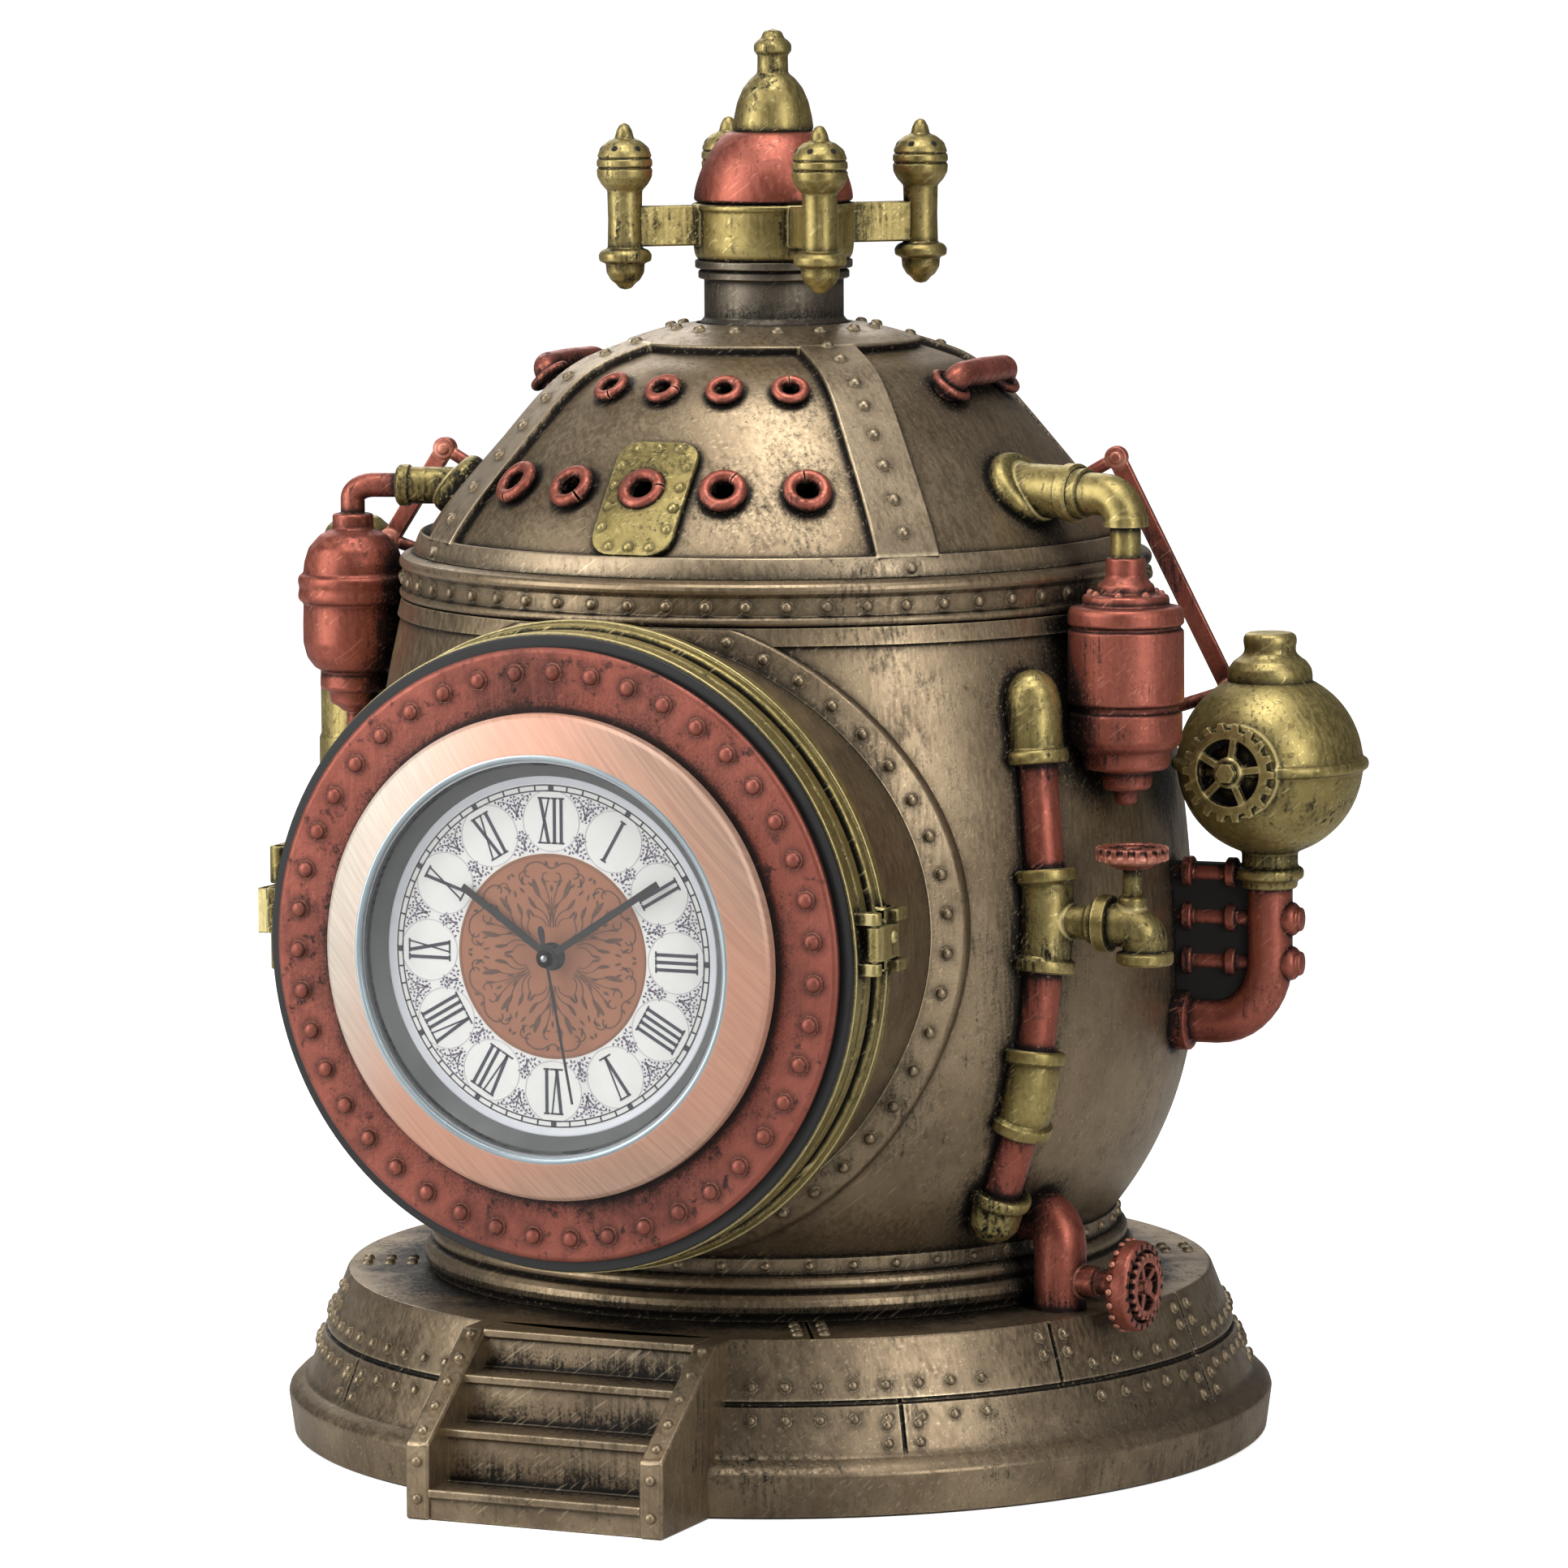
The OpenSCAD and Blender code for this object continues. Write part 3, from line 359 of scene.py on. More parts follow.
def curve(points, count=9):
    """A smooth line through the reach of three or four handle points, as a Bezier curve."""
    points = np.asarray(points, float)
    t = np.linspace(0.0, 1.0, count)[:, None]
    order = len(points) - 1
    return sum(math.comb(order, k) * (1 - t) ** (order - k) * t**k * points[k] for k in range(order + 1))


def leaf(start, end, width, low, high, bow=0.0, count=6):
    """A pointed leaf: a slightly bowed line whose stroke swells between its two ends."""
    start, end = np.asarray(start, float), np.asarray(end, float)
    aside = np.array([start[1] - end[1], end[0] - start[0]]) * bow
    line = curve([start, (start + end) / 2.0 + aside, end], count)
    swell = np.sin(np.linspace(0.06, 0.94, count) * math.pi) ** 0.8
    return stroke(line, width * swell, low, high)


def turned_flat(shape, degrees, radius=0.0):
    """A flat shape pushed out along its y by a radius and then turned clockwise about z."""
    cos, sin = math.cos(math.radians(degrees)), math.sin(math.radians(degrees))
    axes = np.array([[cos, -sin, 0.0], [sin, cos, 0.0], [0.0, 0.0, 1.0]])
    return shape.at(moved(0.0, radius, 0.0)).at((axes, np.zeros(3)))


RIVET_LINE = np.array([[0.0, -0.25], [1.0, -0.25], [1.0, 0.1], [0.94, 0.45], [0.72, 0.8], [0.38, 0.96],
                       [0.0, 1.0]])


def rivets(centres, normals, radius, height, sides=10):
    """A round rivet head on each centre: one small dome profile turned about each normal at once."""
    centres = np.asarray(centres, float).reshape(-1, 3)
    normals = unit(np.broadcast_to(normals, centres.shape))
    hint = np.where(np.abs(normals[:, 2:]) > NEARLY_UPRIGHT, [X_AXIS], [Z_AXIS])
    side = unit(np.cross(normals, hint))
    other = np.cross(normals, side)
    turn = np.linspace(0.0, FULL, sides, endpoint=False)
    reach = radius * RIVET_LINE[:, 0][None, :, None, None]
    rise = height * RIVET_LINE[:, 1][None, :, None, None]
    spin = (np.cos(turn)[None, None, :, None] * side[:, None, None]
            + np.sin(turn)[None, None, :, None] * other[:, None, None])
    points = centres[:, None, None] + reach * spin + rise * normals[:, None, None]
    count, rows = len(centres), len(RIVET_LINE)
    one = grid(np.zeros((rows, sides, 3)), wrap_cols=True).quads
    quads = one[None] + (np.arange(count) * rows * sides)[:, None, None]
    return Shape(points, quads)


# Curves of the body and of the dome


def arc_reach(height, low_r, low_z, wide_r, wide_z):
    """Radius of an arc that is upright at its widest point and passes through its end point."""
    q = ((wide_z - low_z) ** 2 + (wide_r - low_r) ** 2) / (2.0 * (wide_r - low_r))
    return wide_r - q + np.sqrt(np.maximum(q * q - (height - wide_z) ** 2, 0.0))


def body_reach(height):
    """Radius of the boiler body at a height: one arc below its widest place, another above."""
    height = np.asarray(height, float)
    return np.where(height < WIDE_Z, arc_reach(height, FOOT_R, FOOT_Z, BODY_R, WIDE_Z),
                    arc_reach(height, TOP_R, BODY_TOP, BODY_R, WIDE_Z))


DOME_CORNERS = np.array([
    [56.2, 0.0], [55.6, 2.4], [54.0, 5.0], [51.6, 8.4], [48.2, 12.4], [44.2, 17.0], [39.7, 22.1],
    [36.0, 26.0], [31.2, 29.6], [26.5, 31.4], [21.7, 32.9], [17.8, 34.2], [12.0, 35.2]])
DOME_LINE = soften(DOME_CORNERS, 4.0, 4)
DOME_RUN = np.concatenate([[0.0], np.cumsum(np.linalg.norm(np.diff(DOME_LINE, axis=0), axis=1))])
SLOPE_STEP = 1.5
LEAST_REACH = 5.0


def dome_spot(run, rise=0.0):
    """Distance from the axis, height, and outward normal on the dome, a length up its meridian."""
    run = np.asarray(run, float)

    def both(length):
        """Distance from the axis and height at a length up the meridian."""
        return np.interp(length, DOME_RUN, DOME_LINE[:, 0]), np.interp(length, DOME_RUN, DOME_LINE[:, 1])

    reach, height = both(run)
    ahead_r, ahead_z = both(np.minimum(run + SLOPE_STEP, DOME_RUN[-1]))
    behind_r, behind_z = both(np.maximum(run - SLOPE_STEP, 0.0))
    along_r, along_z = ahead_r - behind_r, ahead_z - behind_z
    size = np.hypot(along_r, along_z)
    out_r, out_z = along_z / size, -along_r / size
    return reach + rise * out_r, height + rise * out_z, out_r, out_z


def dome_run(height):
    """Length up the meridian at which the dome has a height."""
    return np.interp(height, DOME_LINE[:, 1], DOME_RUN)


def run_at_reach(reach):
    """Length up the meridian at which the dome has a distance from the axis."""
    return np.interp(-reach, -DOME_LINE[:, 0], DOME_RUN)


def on_dome(bearing, height, across, up, rise):
    """Points on the dome: across and up are lengths from a spot, rise stands out from its recessed panels."""
    run = dome_run(height) + np.asarray(up, float)
    reach, level, _, _ = dome_spot(run, np.asarray(rise, float) - PANEL_D)
    turn = bearing + np.degrees(np.asarray(across, float) / np.maximum(reach, LEAST_REACH))
    return out_at(turn, reach, level + DOME_Z)


def dome_normal(bearing, height, up=0.0):
    """Outward direction on the dome at a bearing and a height."""
    _, _, out_r, out_z = dome_spot(dome_run(height) + np.asarray(up, float))
    return out_at(bearing, out_r, out_z)


# Finishes

FINISHES = {}
EVEN = (1.0, 1.0, 1.0)
NO_TURN = (0.0, 0.0, 0.0)
BLACK = (0.0, 0.0, 0.0, 1.0)
WHITE = (1.0, 1.0, 1.0, 1.0)


class Wire:
    """One output of a finish's nodes. A sum, difference or product of wires is one Math node each."""

    def __init__(self, finish, socket):
        self.finish = finish
        self.socket = socket

    def math(self, operation, first, second):
        """The result of one Math node."""
        return self.finish.add("ShaderNodeMath", {"operation": operation}, {0: first, 1: second})

    def __add__(self, other):
        return self.math("ADD", self, other)

    def __radd__(self, other):
        return self.math("ADD", other, self)

    def __sub__(self, other):
        return self.math("SUBTRACT", self, other)

    def __rsub__(self, other):
        return self.math("SUBTRACT", other, self)

    def __mul__(self, other):
        return self.math("MULTIPLY", self, other)

    def __rmul__(self, other):
        return self.math("MULTIPLY", other, self)

    def between(self, low, high):
        """0 below low, 1 above high, with a smooth way between."""
        return self.finish.add("ShaderNodeMapRange", {"interpolation_type": "SMOOTHSTEP"},
                               {"Value": self, "From Min": low, "From Max": high})

    def twin(self, output):
        """Another output of the same node."""
        return Wire(self.finish, self.socket.node.outputs[output])


class Finish:
    """The nodes of one material, which end in its own shader."""

    def __init__(self, name):
        self.material = bpy.data.materials.new(name)
        self.material.use_nodes = True
        self.tree = self.material.node_tree
        self.tree.nodes.clear()
        output = self.tree.nodes.new("ShaderNodeOutputMaterial")
        self.shader = self.tree.nodes.new("ShaderNodeBsdfPrincipled")
        self.tree.links.new(self.shader.outputs[0], output.inputs["Surface"])
        FINISHES[name] = self.material

    def add(self, kind, settings=None, sockets=None, output=0):
        """A node of a kind: its settings first, then the values or wires of its sockets."""
        node = self.tree.nodes.new(kind)
        for name, value in (settings or {}).items():
            setattr(node, name, value)
        self.plug(node, sockets or {})
        return Wire(self, node.outputs[output])

    def plug(self, node, sockets):
        """Sets a node's sockets to values, or links wires to them."""
        for name, value in sockets.items():
            if isinstance(value, Wire):
                self.tree.links.new(value.socket, node.inputs[name])
            else:
                node.inputs[name].default_value = value

    def set(self, **sockets):
        """Sets the shader's sockets; an underscore in a name stands for a space."""
        self.plug(self.shader, {name.replace("_", " "): value for name, value in sockets.items()})

    def where(self, stretch=EVEN, turn=NO_TURN):
        """Object coordinates, turned and then stretched."""
        spot = self.add("ShaderNodeTexCoord", output="Object")
        turned = self.add("ShaderNodeMapping", {}, {"Vector": spot, "Rotation": turn})
        return self.add("ShaderNodeMapping", {}, {"Vector": turned, "Scale": stretch})

    def noise(self, scale, detail=3.0, rough=0.5, stretch=EVEN, turn=NO_TURN):
        """Noise with so many waves to the metre."""
        sockets = {"Vector": self.where(stretch, turn), "Scale": scale, "Detail": detail, "Roughness": rough}
        return self.add("ShaderNodeTexNoise", {"noise_dimensions": "3D"}, sockets)

    def distance(self, axes):
        """Distance from the part's origin along the axes that are 1, not 0."""
        sockets = {0: self.where(axes)}
        return self.add("ShaderNodeVectorMath", {"operation": "LENGTH"}, sockets, output="Value")

    def mix(self, share, first, second):
        """A colour between two colours."""
        sockets = {0: share, 6: first, 7: second}
        return self.add("ShaderNodeMix", {"data_type": "RGBA"}, sockets, output=2)

    def closeness(self, distance, inside=False, alone=False):
        """How near other surfaces are, or with inside how near an outer edge is: 0 in the open, up to 1."""
        settings = {"samples": 4, "inside": inside, "only_local": inside or alone}
        sockets = {"Distance": distance * MM}
        return 1.0 - self.add("ShaderNodeAmbientOcclusion", settings, sockets, output="AO")

    def bump(self, height, strength, distance):
        """A normal that follows a height."""
        sockets = {"Height": height, "Strength": strength, "Distance": distance * MM}
        return self.add("ShaderNodeBump", {}, sockets)


def rgb(red, green, blue):
    """A colour from its usual 0 to 255 values, as linear light."""
    share = np.array([red, green, blue]) / 255.0
    linear = np.where(share <= 0.04045, share / 12.92, ((share + 0.055) / 1.055) ** 2.4)
    return (*linear.tolist(), 1.0)


# Painted shade on the base's top: full inside the first radius, none beyond the second, with a waver at its
# edge.
FULL_SHADE_R = 55.0
NO_SHADE_R = 68.0
SHADE_WAVER = 6.0
TOP_SHADE = 0.85


def aged_metal(name, tone, pale, wash_and_shade, worn, rough=0.4, streak=0.5, worn_amount=0.85, metallic=0.92,
               speckle=0.25, patina=0.6, pitted=0.35, alone=False):
    """Cast metal paint: cloudy tone, brush streaks both ways, a dark wash in hollows that also paints shade
    in hollows and at the joins between parts, and bright worn edges.

    A finish that looks at its own piece alone gets painted shade on the base's top round the body's foot,
    under its belly, from its place there.
    """
    finish = Finish(name)
    cloud = finish.noise(70.0, 5.0, 0.62).between(0.34, 0.66)
    blotch = finish.noise(38.0, 6.0, 0.7).between(0.44, 0.64)
    brushed = finish.noise(1.0, 3.0, 0.6, stretch=(1500.0, 1500.0, 110.0))
    crossed = finish.noise(1.0, 2.0, 0.6, stretch=(1300.0, 1300.0, 140.0), turn=(0.5, 0.7, 0.0))
    scratch = finish.noise(1.0, 1.0, 0.5, stretch=(2400.0, 2400.0, 60.0), turn=(0.2, -0.9, 0.0))
    scratch = scratch.between(0.64, 0.7)
    grain = finish.noise(2600.0, 2.0, 0.6)
    pits = finish.noise(760.0, 4.0, 0.6)
    # Occlusion by nearby surfaces darkens hollows, corners and joins between parts: the wash and painted
    # shade together.
    hollow = finish.closeness(5.5, alone=alone)
    tight = finish.closeness(1.4, alone=alone)
    edge = finish.closeness(0.5, inside=True)
    lines = (brushed * 0.6 + crossed * 0.4).between(0.38, 0.62)
    base = finish.mix(cloud * 0.6 + lines * streak * 0.6, tone, pale)
    uneven = (grain - 0.5) * 0.5 + (brushed - 0.5) * streak
    sunk = hollow * 1.5 + tight * 1.3
    near = (sunk + uneven).between(0.32, 0.78)
    wide = (sunk + uneven * 1.6 + (cloud - 0.5) * 0.3).between(0.02, 0.6) * 0.65
    spots = finish.noise(420.0, 5.0, 0.7).between(0.55, 0.68) * speckle
    bright = (edge * 2.2 + (grain - 0.5) * 0.7).between(0.42, 0.95) * worn_amount + scratch * streak * 0.5
    grime_and_shade = near + wide + spots + blotch * patina * (0.45 + (lines - 0.5) * streak)
    if alone:
        # Painted shade under the body's belly on the base's top, where the occlusion of a piece alone cannot
        # reach.
        reach = finish.distance((1.0, 1.0, 0.0)) + (cloud - 0.5) * SHADE_WAVER * MM
        height = finish.distance((0.0, 0.0, 1.0))
        on_top = height.between((BASE_H - 0.6) * MM, (BASE_H - 0.1) * MM)
        grime_and_shade = grime_and_shade + (1.0 - reach.between(FULL_SHADE_R * MM, NO_SHADE_R * MM)) * on_top * TOP_SHADE
    dark = grime_and_shade.between(-0.18, 1.1)
    colour = finish.mix(bright, finish.mix(dark, base, wash_and_shade), worn)
    relief = brushed * 0.5 + crossed * 0.3 + grain * 0.35 + pits * pitted
    finish.set(Base_Color=colour, Metallic=metallic - dark * 0.3,
               Roughness=rough + (lines - 0.5) * 0.12 + dark * 0.2 - bright * 0.06,
               Normal=finish.bump(relief, 0.25, 0.14))


def plain(name, tone, other, rough, metallic=0.0, scale=500.0, bumps=0.1, gloss=0.5):
    """A plain moulded or painted surface: two near tones in fine grain, with a little bump."""
    finish = Finish(name)
    grain = finish.noise(scale, 3.0, 0.6)
    cloud = finish.noise(scale * 0.12, 3.0, 0.6).between(0.3, 0.7)
    finish.set(Base_Color=finish.mix(grain * 0.5 + cloud * 0.5, tone, other), Metallic=metallic,
               Specular_IOR_Level=gloss, Roughness=rough + (cloud - 0.5) * 0.08,
               Normal=finish.bump(grain, bumps, 0.05))


def brushed_ring(name):
    """Brushed rose metal of the bezel: slanting brush lines, with a painted silvery highlight toward its left
    and painted grey shade toward its upper right and its bottom.
    """
    finish = Finish(name)
    slant = (0.0, math.radians(-48.0), 0.0)
    lines = finish.noise(1.0, 3.0, 0.65, stretch=(50.0, 300.0, 2600.0), turn=slant)
    soft = finish.noise(55.0, 2.0, 0.5)
    spot = finish.add("ShaderNodeTexCoord", output="Object")
    side = finish.add("ShaderNodeSeparateXYZ", {}, {"Vector": spot}, output="X")
    rise = side.twin("Z") - DOOR_Z * MM
    # Painted reflection fixed on the ring: a silvery highlight to the left, grey shade to the upper right and
    # the bottom.
    painted_highlight_side = (rise * 0.26 - side * 0.97).between(0.012, 0.036)
    upper_painted_shade = (side * 0.75 + rise * 0.66).between(0.022, 0.036)
    lower_painted_shade = (side * 0.25 - rise * 0.97).between(0.024, 0.036)
    fine = lines.between(0.3, 0.7)
    rose = finish.mix(fine, rgb(204, 152, 129), rgb(216, 164, 139))
    highlight_tint = finish.mix(fine, rgb(200, 188, 173), rgb(218, 206, 191))
    grey = finish.mix(fine, rgb(168, 142, 125), rgb(194, 161, 139))
    rose_with_painted_shade = finish.mix((upper_painted_shade + lower_painted_shade) * 0.75 + (soft - 0.5) * 0.4, rose, grey)
    finish.set(Base_Color=finish.mix(painted_highlight_side, rose_with_painted_shade, highlight_tint), Metallic=0.2,
               Roughness=0.42 + (lines - 0.5) * 0.16, Normal=finish.bump(lines, 0.12, 0.05))


def clear_glass(name):
    """Thin clear glass: nearly see-through, with its gloss."""
    finish = Finish(name)
    smear = finish.noise(120.0, 2.0, 0.5)
    finish.set(Base_Color=WHITE, Roughness=0.03 + smear * 0.02, Specular_IOR_Level=0.3, Alpha=0.04)


def make_finishes():
    """Every finish of the clock, by name."""
    # For each metal: tone, pale tone, the dark of its wash and painted shade, and its worn edge colour.
    aged_metal("bronze", rgb(134, 116, 92), rgb(176, 156, 126), rgb(26, 21, 16), rgb(206, 186, 150))
    aged_metal("bronze_base", rgb(130, 112, 90), rgb(182, 162, 132), rgb(22, 18, 14), rgb(220, 202, 168),
               streak=0.45, worn_amount=1.0, patina=0.8, alone=True)
    aged_metal("bronze_rib", rgb(150, 132, 108), rgb(194, 174, 144), rgb(26, 21, 16), rgb(216, 198, 164))
    aged_metal("bronze_dark", rgb(96, 88, 76), rgb(136, 126, 110), rgb(22, 20, 18), rgb(170, 158, 134),
               rough=0.44)
    aged_metal("copper", rgb(154, 82, 66), rgb(188, 110, 92), rgb(28, 17, 15), rgb(216, 146, 124),
               rough=0.44, streak=0.75, metallic=0.8, patina=0.85, pitted=0.8)
    aged_metal("copper_plate", rgb(146, 80, 66), rgb(176, 102, 86), rgb(34, 20, 17), rgb(212, 140, 118),
               rough=0.46, streak=0.12, speckle=0.6, metallic=0.65, patina=0.9, pitted=2.2)
    aged_metal("brass", rgb(148, 131, 78), rgb(192, 174, 114), rgb(18, 15, 9), rgb(226, 210, 150),
               rough=0.43, streak=0.85, patina=0.9, speckle=0.4)
    # Bright brass for thin rings on ring edges: rubbed wear with a painted highlight along them.
    aged_metal("brass_worn_highlight", rgb(190, 170, 104), rgb(222, 204, 140), rgb(60, 50, 24), rgb(238, 222, 164),
               patina=0.8)
    plain("black_edge", rgb(14, 13, 13), rgb(26, 24, 23), 0.45)
    plain("felt", rgb(34, 32, 30), rgb(56, 53, 50), 0.95, scale=2400.0, bumps=0.5)
    plain("cup", rgb(150, 152, 154), rgb(176, 178, 180), 0.35, metallic=0.9, scale=900.0)
    plain("rehaut", rgb(46, 49, 50), rgb(96, 98, 96), 0.45, metallic=0.3, scale=260.0)
    plain("lip", rgb(150, 164, 170), rgb(186, 198, 202), 0.3, metallic=0.5, scale=400.0)
    plain("lip_white", rgb(196, 200, 206), rgb(214, 217, 222), 0.3, scale=400.0)
    plain("dial", rgb(226, 226, 222), rgb(236, 236, 232), 0.4, scale=900.0, bumps=0.02, gloss=0.1)
    plain("hands", rgb(14, 13, 12), rgb(24, 23, 22), 0.45, scale=900.0, gloss=0.2)
    plain("movement", rgb(34, 35, 37), rgb(50, 51, 53), 0.5, scale=700.0)
    plain("knob", rgb(74, 75, 78), rgb(96, 97, 100), 0.5, scale=700.0)
    plain("cover", rgb(104, 106, 110), rgb(130, 132, 136), 0.4, metallic=0.7, scale=900.0)
    plain("cell", rgb(150, 152, 154), rgb(184, 186, 188), 0.28, metallic=1.0, scale=900.0)
    plain("gasket", rgb(26, 26, 26), rgb(40, 40, 40), 0.75, scale=700.0)
    # Near black painted shade, for holes, wells, pierced dots and the web in a shaded corner.
    plain("shade_black", rgb(10, 9, 8), rgb(22, 19, 16), 0.8, scale=700.0)
    plain("medallion", rgb(150, 97, 70), rgb(164, 109, 80), 0.55, scale=500.0, bumps=0.02, gloss=0.1)
    plain("medallion_edge", rgb(126, 86, 62), rgb(150, 104, 76), 0.55, scale=900.0, bumps=0.02, gloss=0.1)
    for name, tone, other in (("print_black", rgb(42, 47, 60), rgb(62, 66, 78)),
                              ("print_violet", rgb(80, 72, 98), rgb(122, 112, 136)),
                              ("print_grey", rgb(182, 180, 182), rgb(204, 202, 204)),
                              ("print_brown", rgb(78, 54, 42), rgb(112, 80, 60))):
        plain(name, tone, other, 0.6, scale=3000.0, gloss=0.1)
    brushed_ring("bezel")
    clear_glass("glass")


# Making pieces

SAME_POINT = 0.002 * MM
SHARP_FROM = math.radians(34.0)
BEVEL_FROM = math.radians(30.0)


def piece(name, shape, finish, body, nodes=(), bevel=0.0, wall=0.0):
    """A mesh object in the frame: doubles merged, faces outward, smooth, riding on its body."""
    mesh = bpy.data.meshes.new(name)
    faces = shape.quads.tolist() + [cap.tolist() for cap in shape.caps]
    mesh.from_pydata((shape.points * MM).tolist(), [], faces)
    work = bmesh.new()
    work.from_mesh(mesh)
    bmesh.ops.remove_doubles(work, verts=work.verts, dist=SAME_POINT)
    bmesh.ops.dissolve_degenerate(work, edges=work.edges, dist=SAME_POINT)
    bmesh.ops.recalc_face_normals(work, faces=work.faces)
    work.to_mesh(mesh)
    work.free()
    mesh.shade_smooth()
    mesh.set_sharp_from_angle(angle=SHARP_FROM)
    made = bpy.data.objects.new(name, mesh)
    bpy.context.scene.collection.objects.link(made)
    mesh.materials.append(FINISHES[finish])
    if wall:
        shell = made.modifiers.new("wall", "SOLIDIFY")
        shell.thickness = wall * MM
        shell.offset = -1.0
    if bevel:
        edges = made.modifiers.new("edges", "BEVEL")
        edges.width = bevel * MM
        edges.segments = 2
        edges.limit_method = "ANGLE"
        edges.angle_limit = BEVEL_FROM
    normals = made.modifiers.new("normals", "WEIGHTED_NORMAL")
    normals.keep_sharp = True
    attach(made, body)
    if nodes:
        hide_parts(*nodes)


def dress(node, finish):
    """Gives a node of the frame its finish."""
    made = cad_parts[node]
    made.data.materials.clear()
    made.data.materials.append(FINISHES[finish])


# Base and stairs

BASE_SLOPE = np.array([[74.0, 8.9], [67.5, BASE_H]])
SEAM_Z = 16.3
SEAM_DEEP = 0.55
SEAM_LIP = 0.45
SEAM_FLOOR = 0.25
SEAM_NEAR = 0.3
SEAM_FAN = np.array([-0.5, -0.3, -0.12, 0.12, 0.3, 0.5])
SEAM_OPEN = 0.2
UPPER_SEAMS = (60.5, 150.0, -120.0, -58.0)
LOWER_SEAMS = (38.4, 112.0, 180.0, -112.0, -41.0)
WHOLE_SEAMS = (87.5,)
TOP_SEAMS = (-67.0, 121.0, 28.0, -160.0)


def slope_reach(height):
    """Radius of the base's sloping side at a height."""
    share = (np.asarray(height, float) - BASE_SLOPE[0, 1]) / (BASE_SLOPE[1, 1] - BASE_SLOPE[0, 1])
    return BASE_SLOPE[0, 0] + share * (BASE_SLOPE[1, 0] - BASE_SLOPE[0, 0])


def base_shape():
    """The base's profile on a fan of bearings that is dense at the seams, where the surface sinks in."""
    side_low = np.linspace(9.6, SEAM_Z - SEAM_LIP, 4)
    side_high = np.linspace(SEAM_Z + SEAM_LIP, BASE_H - 0.5, 4)
    rise = np.concatenate([side_low, [SEAM_Z - SEAM_FLOOR, SEAM_Z + SEAM_FLOOR], side_high])
    sunk = np.where(np.abs(rise - SEAM_Z) < SEAM_NEAR, SEAM_DEEP, 0.0)
    side = np.stack([slope_reach(rise) - sunk, rise], axis=-1)
    under = [[0.0, 2.0], [67.9, 2.0], [67.9, 0.3], [68.4, 0.0], [75.6, 0.0], [76.2, 0.4], [77.0, 6.2],
             [76.8, 6.9], [75.8, 7.9], [74.6, 8.5], [74.1, 8.9]]
    over = [[67.4, BASE_H - 0.12], [67.0, BASE_H], [60.0, BASE_H], [54.0, BASE_H], [0.0, BASE_H]]
    line = np.vstack([under, side, over])
    seams = np.array(UPPER_SEAMS + LOWER_SEAMS + WHOLE_SEAMS + TOP_SEAMS)
    fine = (seams[:, None] + SEAM_FAN).ravel()
    bearings = np.sort(np.concatenate([np.arange(-180.0, 180.0, 2.5), (fine + 180.0) % 360.0 - 180.0]))
    reach = np.broadcast_to(line[:, :1], (len(line), len(bearings)))
    height = np.broadcast_to(line[:, 1:], reach.shape)

    def gap(seam):
        """Which bearings lie in a seam."""
        return np.abs((bearings - seam + 180.0) % 360.0 - 180.0)[None] < SEAM_OPEN

    row = np.arange(len(line))
    on_side = (row >= len(under)) & (row < len(under) + len(side))
    upper = (on_side & (line[:, 1] > SEAM_Z - SEAM_NEAR))[:, None]
    lower = (on_side & (line[:, 1] < SEAM_Z + SEAM_NEAR))[:, None]
    top = ((line[:, 1] > BASE_H - 0.05) & (line[:, 0] > 50.0))[:, None]
    for seam in UPPER_SEAMS + WHOLE_SEAMS:
        reach = reach - SEAM_DEEP * (gap(seam) & upper)
    for seam in LOWER_SEAMS + WHOLE_SEAMS:
        reach = reach - SEAM_DEEP * (gap(seam) & lower)
    for seam in TOP_SEAMS:
        height = height - SEAM_DEEP * (gap(seam) & top)
    return grid(out_at(bearings[None], reach, height), wrap_cols=True)


ROW_ENDS = ((20.4, 52.0), (66.0, 84.0), (92.0, 342.0))
ROW_STEP = 4.1
ROW_HEIGHTS = (18.7, 14.0)
UPPER_PAIRS = (23.4, 20.9)
LOWER_PAIRS = (13.0, 10.4)
TOP_PAIRS = (57.5, 61.0, 64.5)
BESIDE_SIDE_SEAM = (-1.9, 1.9)
BESIDE_TOP_SEAM = (-2.0, 2.0)


def base_rivets():
    """Rows beside the level seam, pairs beside each upright and radial seam."""
    out = unit([BASE_SLOPE[1, 1] - BASE_SLOPE[0, 1], BASE_SLOPE[0, 0] - BASE_SLOPE[1, 0]])
    row = np.concatenate([np.arange(first, last, ROW_STEP) for first, last in ROW_ENDS])
    spots = [(bearing, height) for height in ROW_HEIGHTS for bearing in row]
    for seams, heights in ((UPPER_SEAMS, UPPER_PAIRS), (LOWER_SEAMS, LOWER_PAIRS)):
        spots += [(seam + off, height) for seam in seams + WHOLE_SEAMS for off in BESIDE_SIDE_SEAM
                  for height in heights]
    bearing, height = np.array(spots).T
    centres = out_at(bearing, slope_reach(height), height)
    side = rivets(centres, out_at(bearing, out[0], out[1]), *BASE_RIVET)
    tops = np.array([(seam + np.degrees(off / reach), reach) for seam in TOP_SEAMS
                     for off in BESIDE_TOP_SEAM for reach in TOP_PAIRS])
    return side + rivets(out_at(tops[:, 0], tops[:, 1], BASE_H), Z_AXIS, *BASE_RIVET)


def plinth():
    """The stepped base with its seams and rivets."""
    piece("base_body", base_shape() + base_rivets(), "bronze_base", "case", ["base_plinth"])


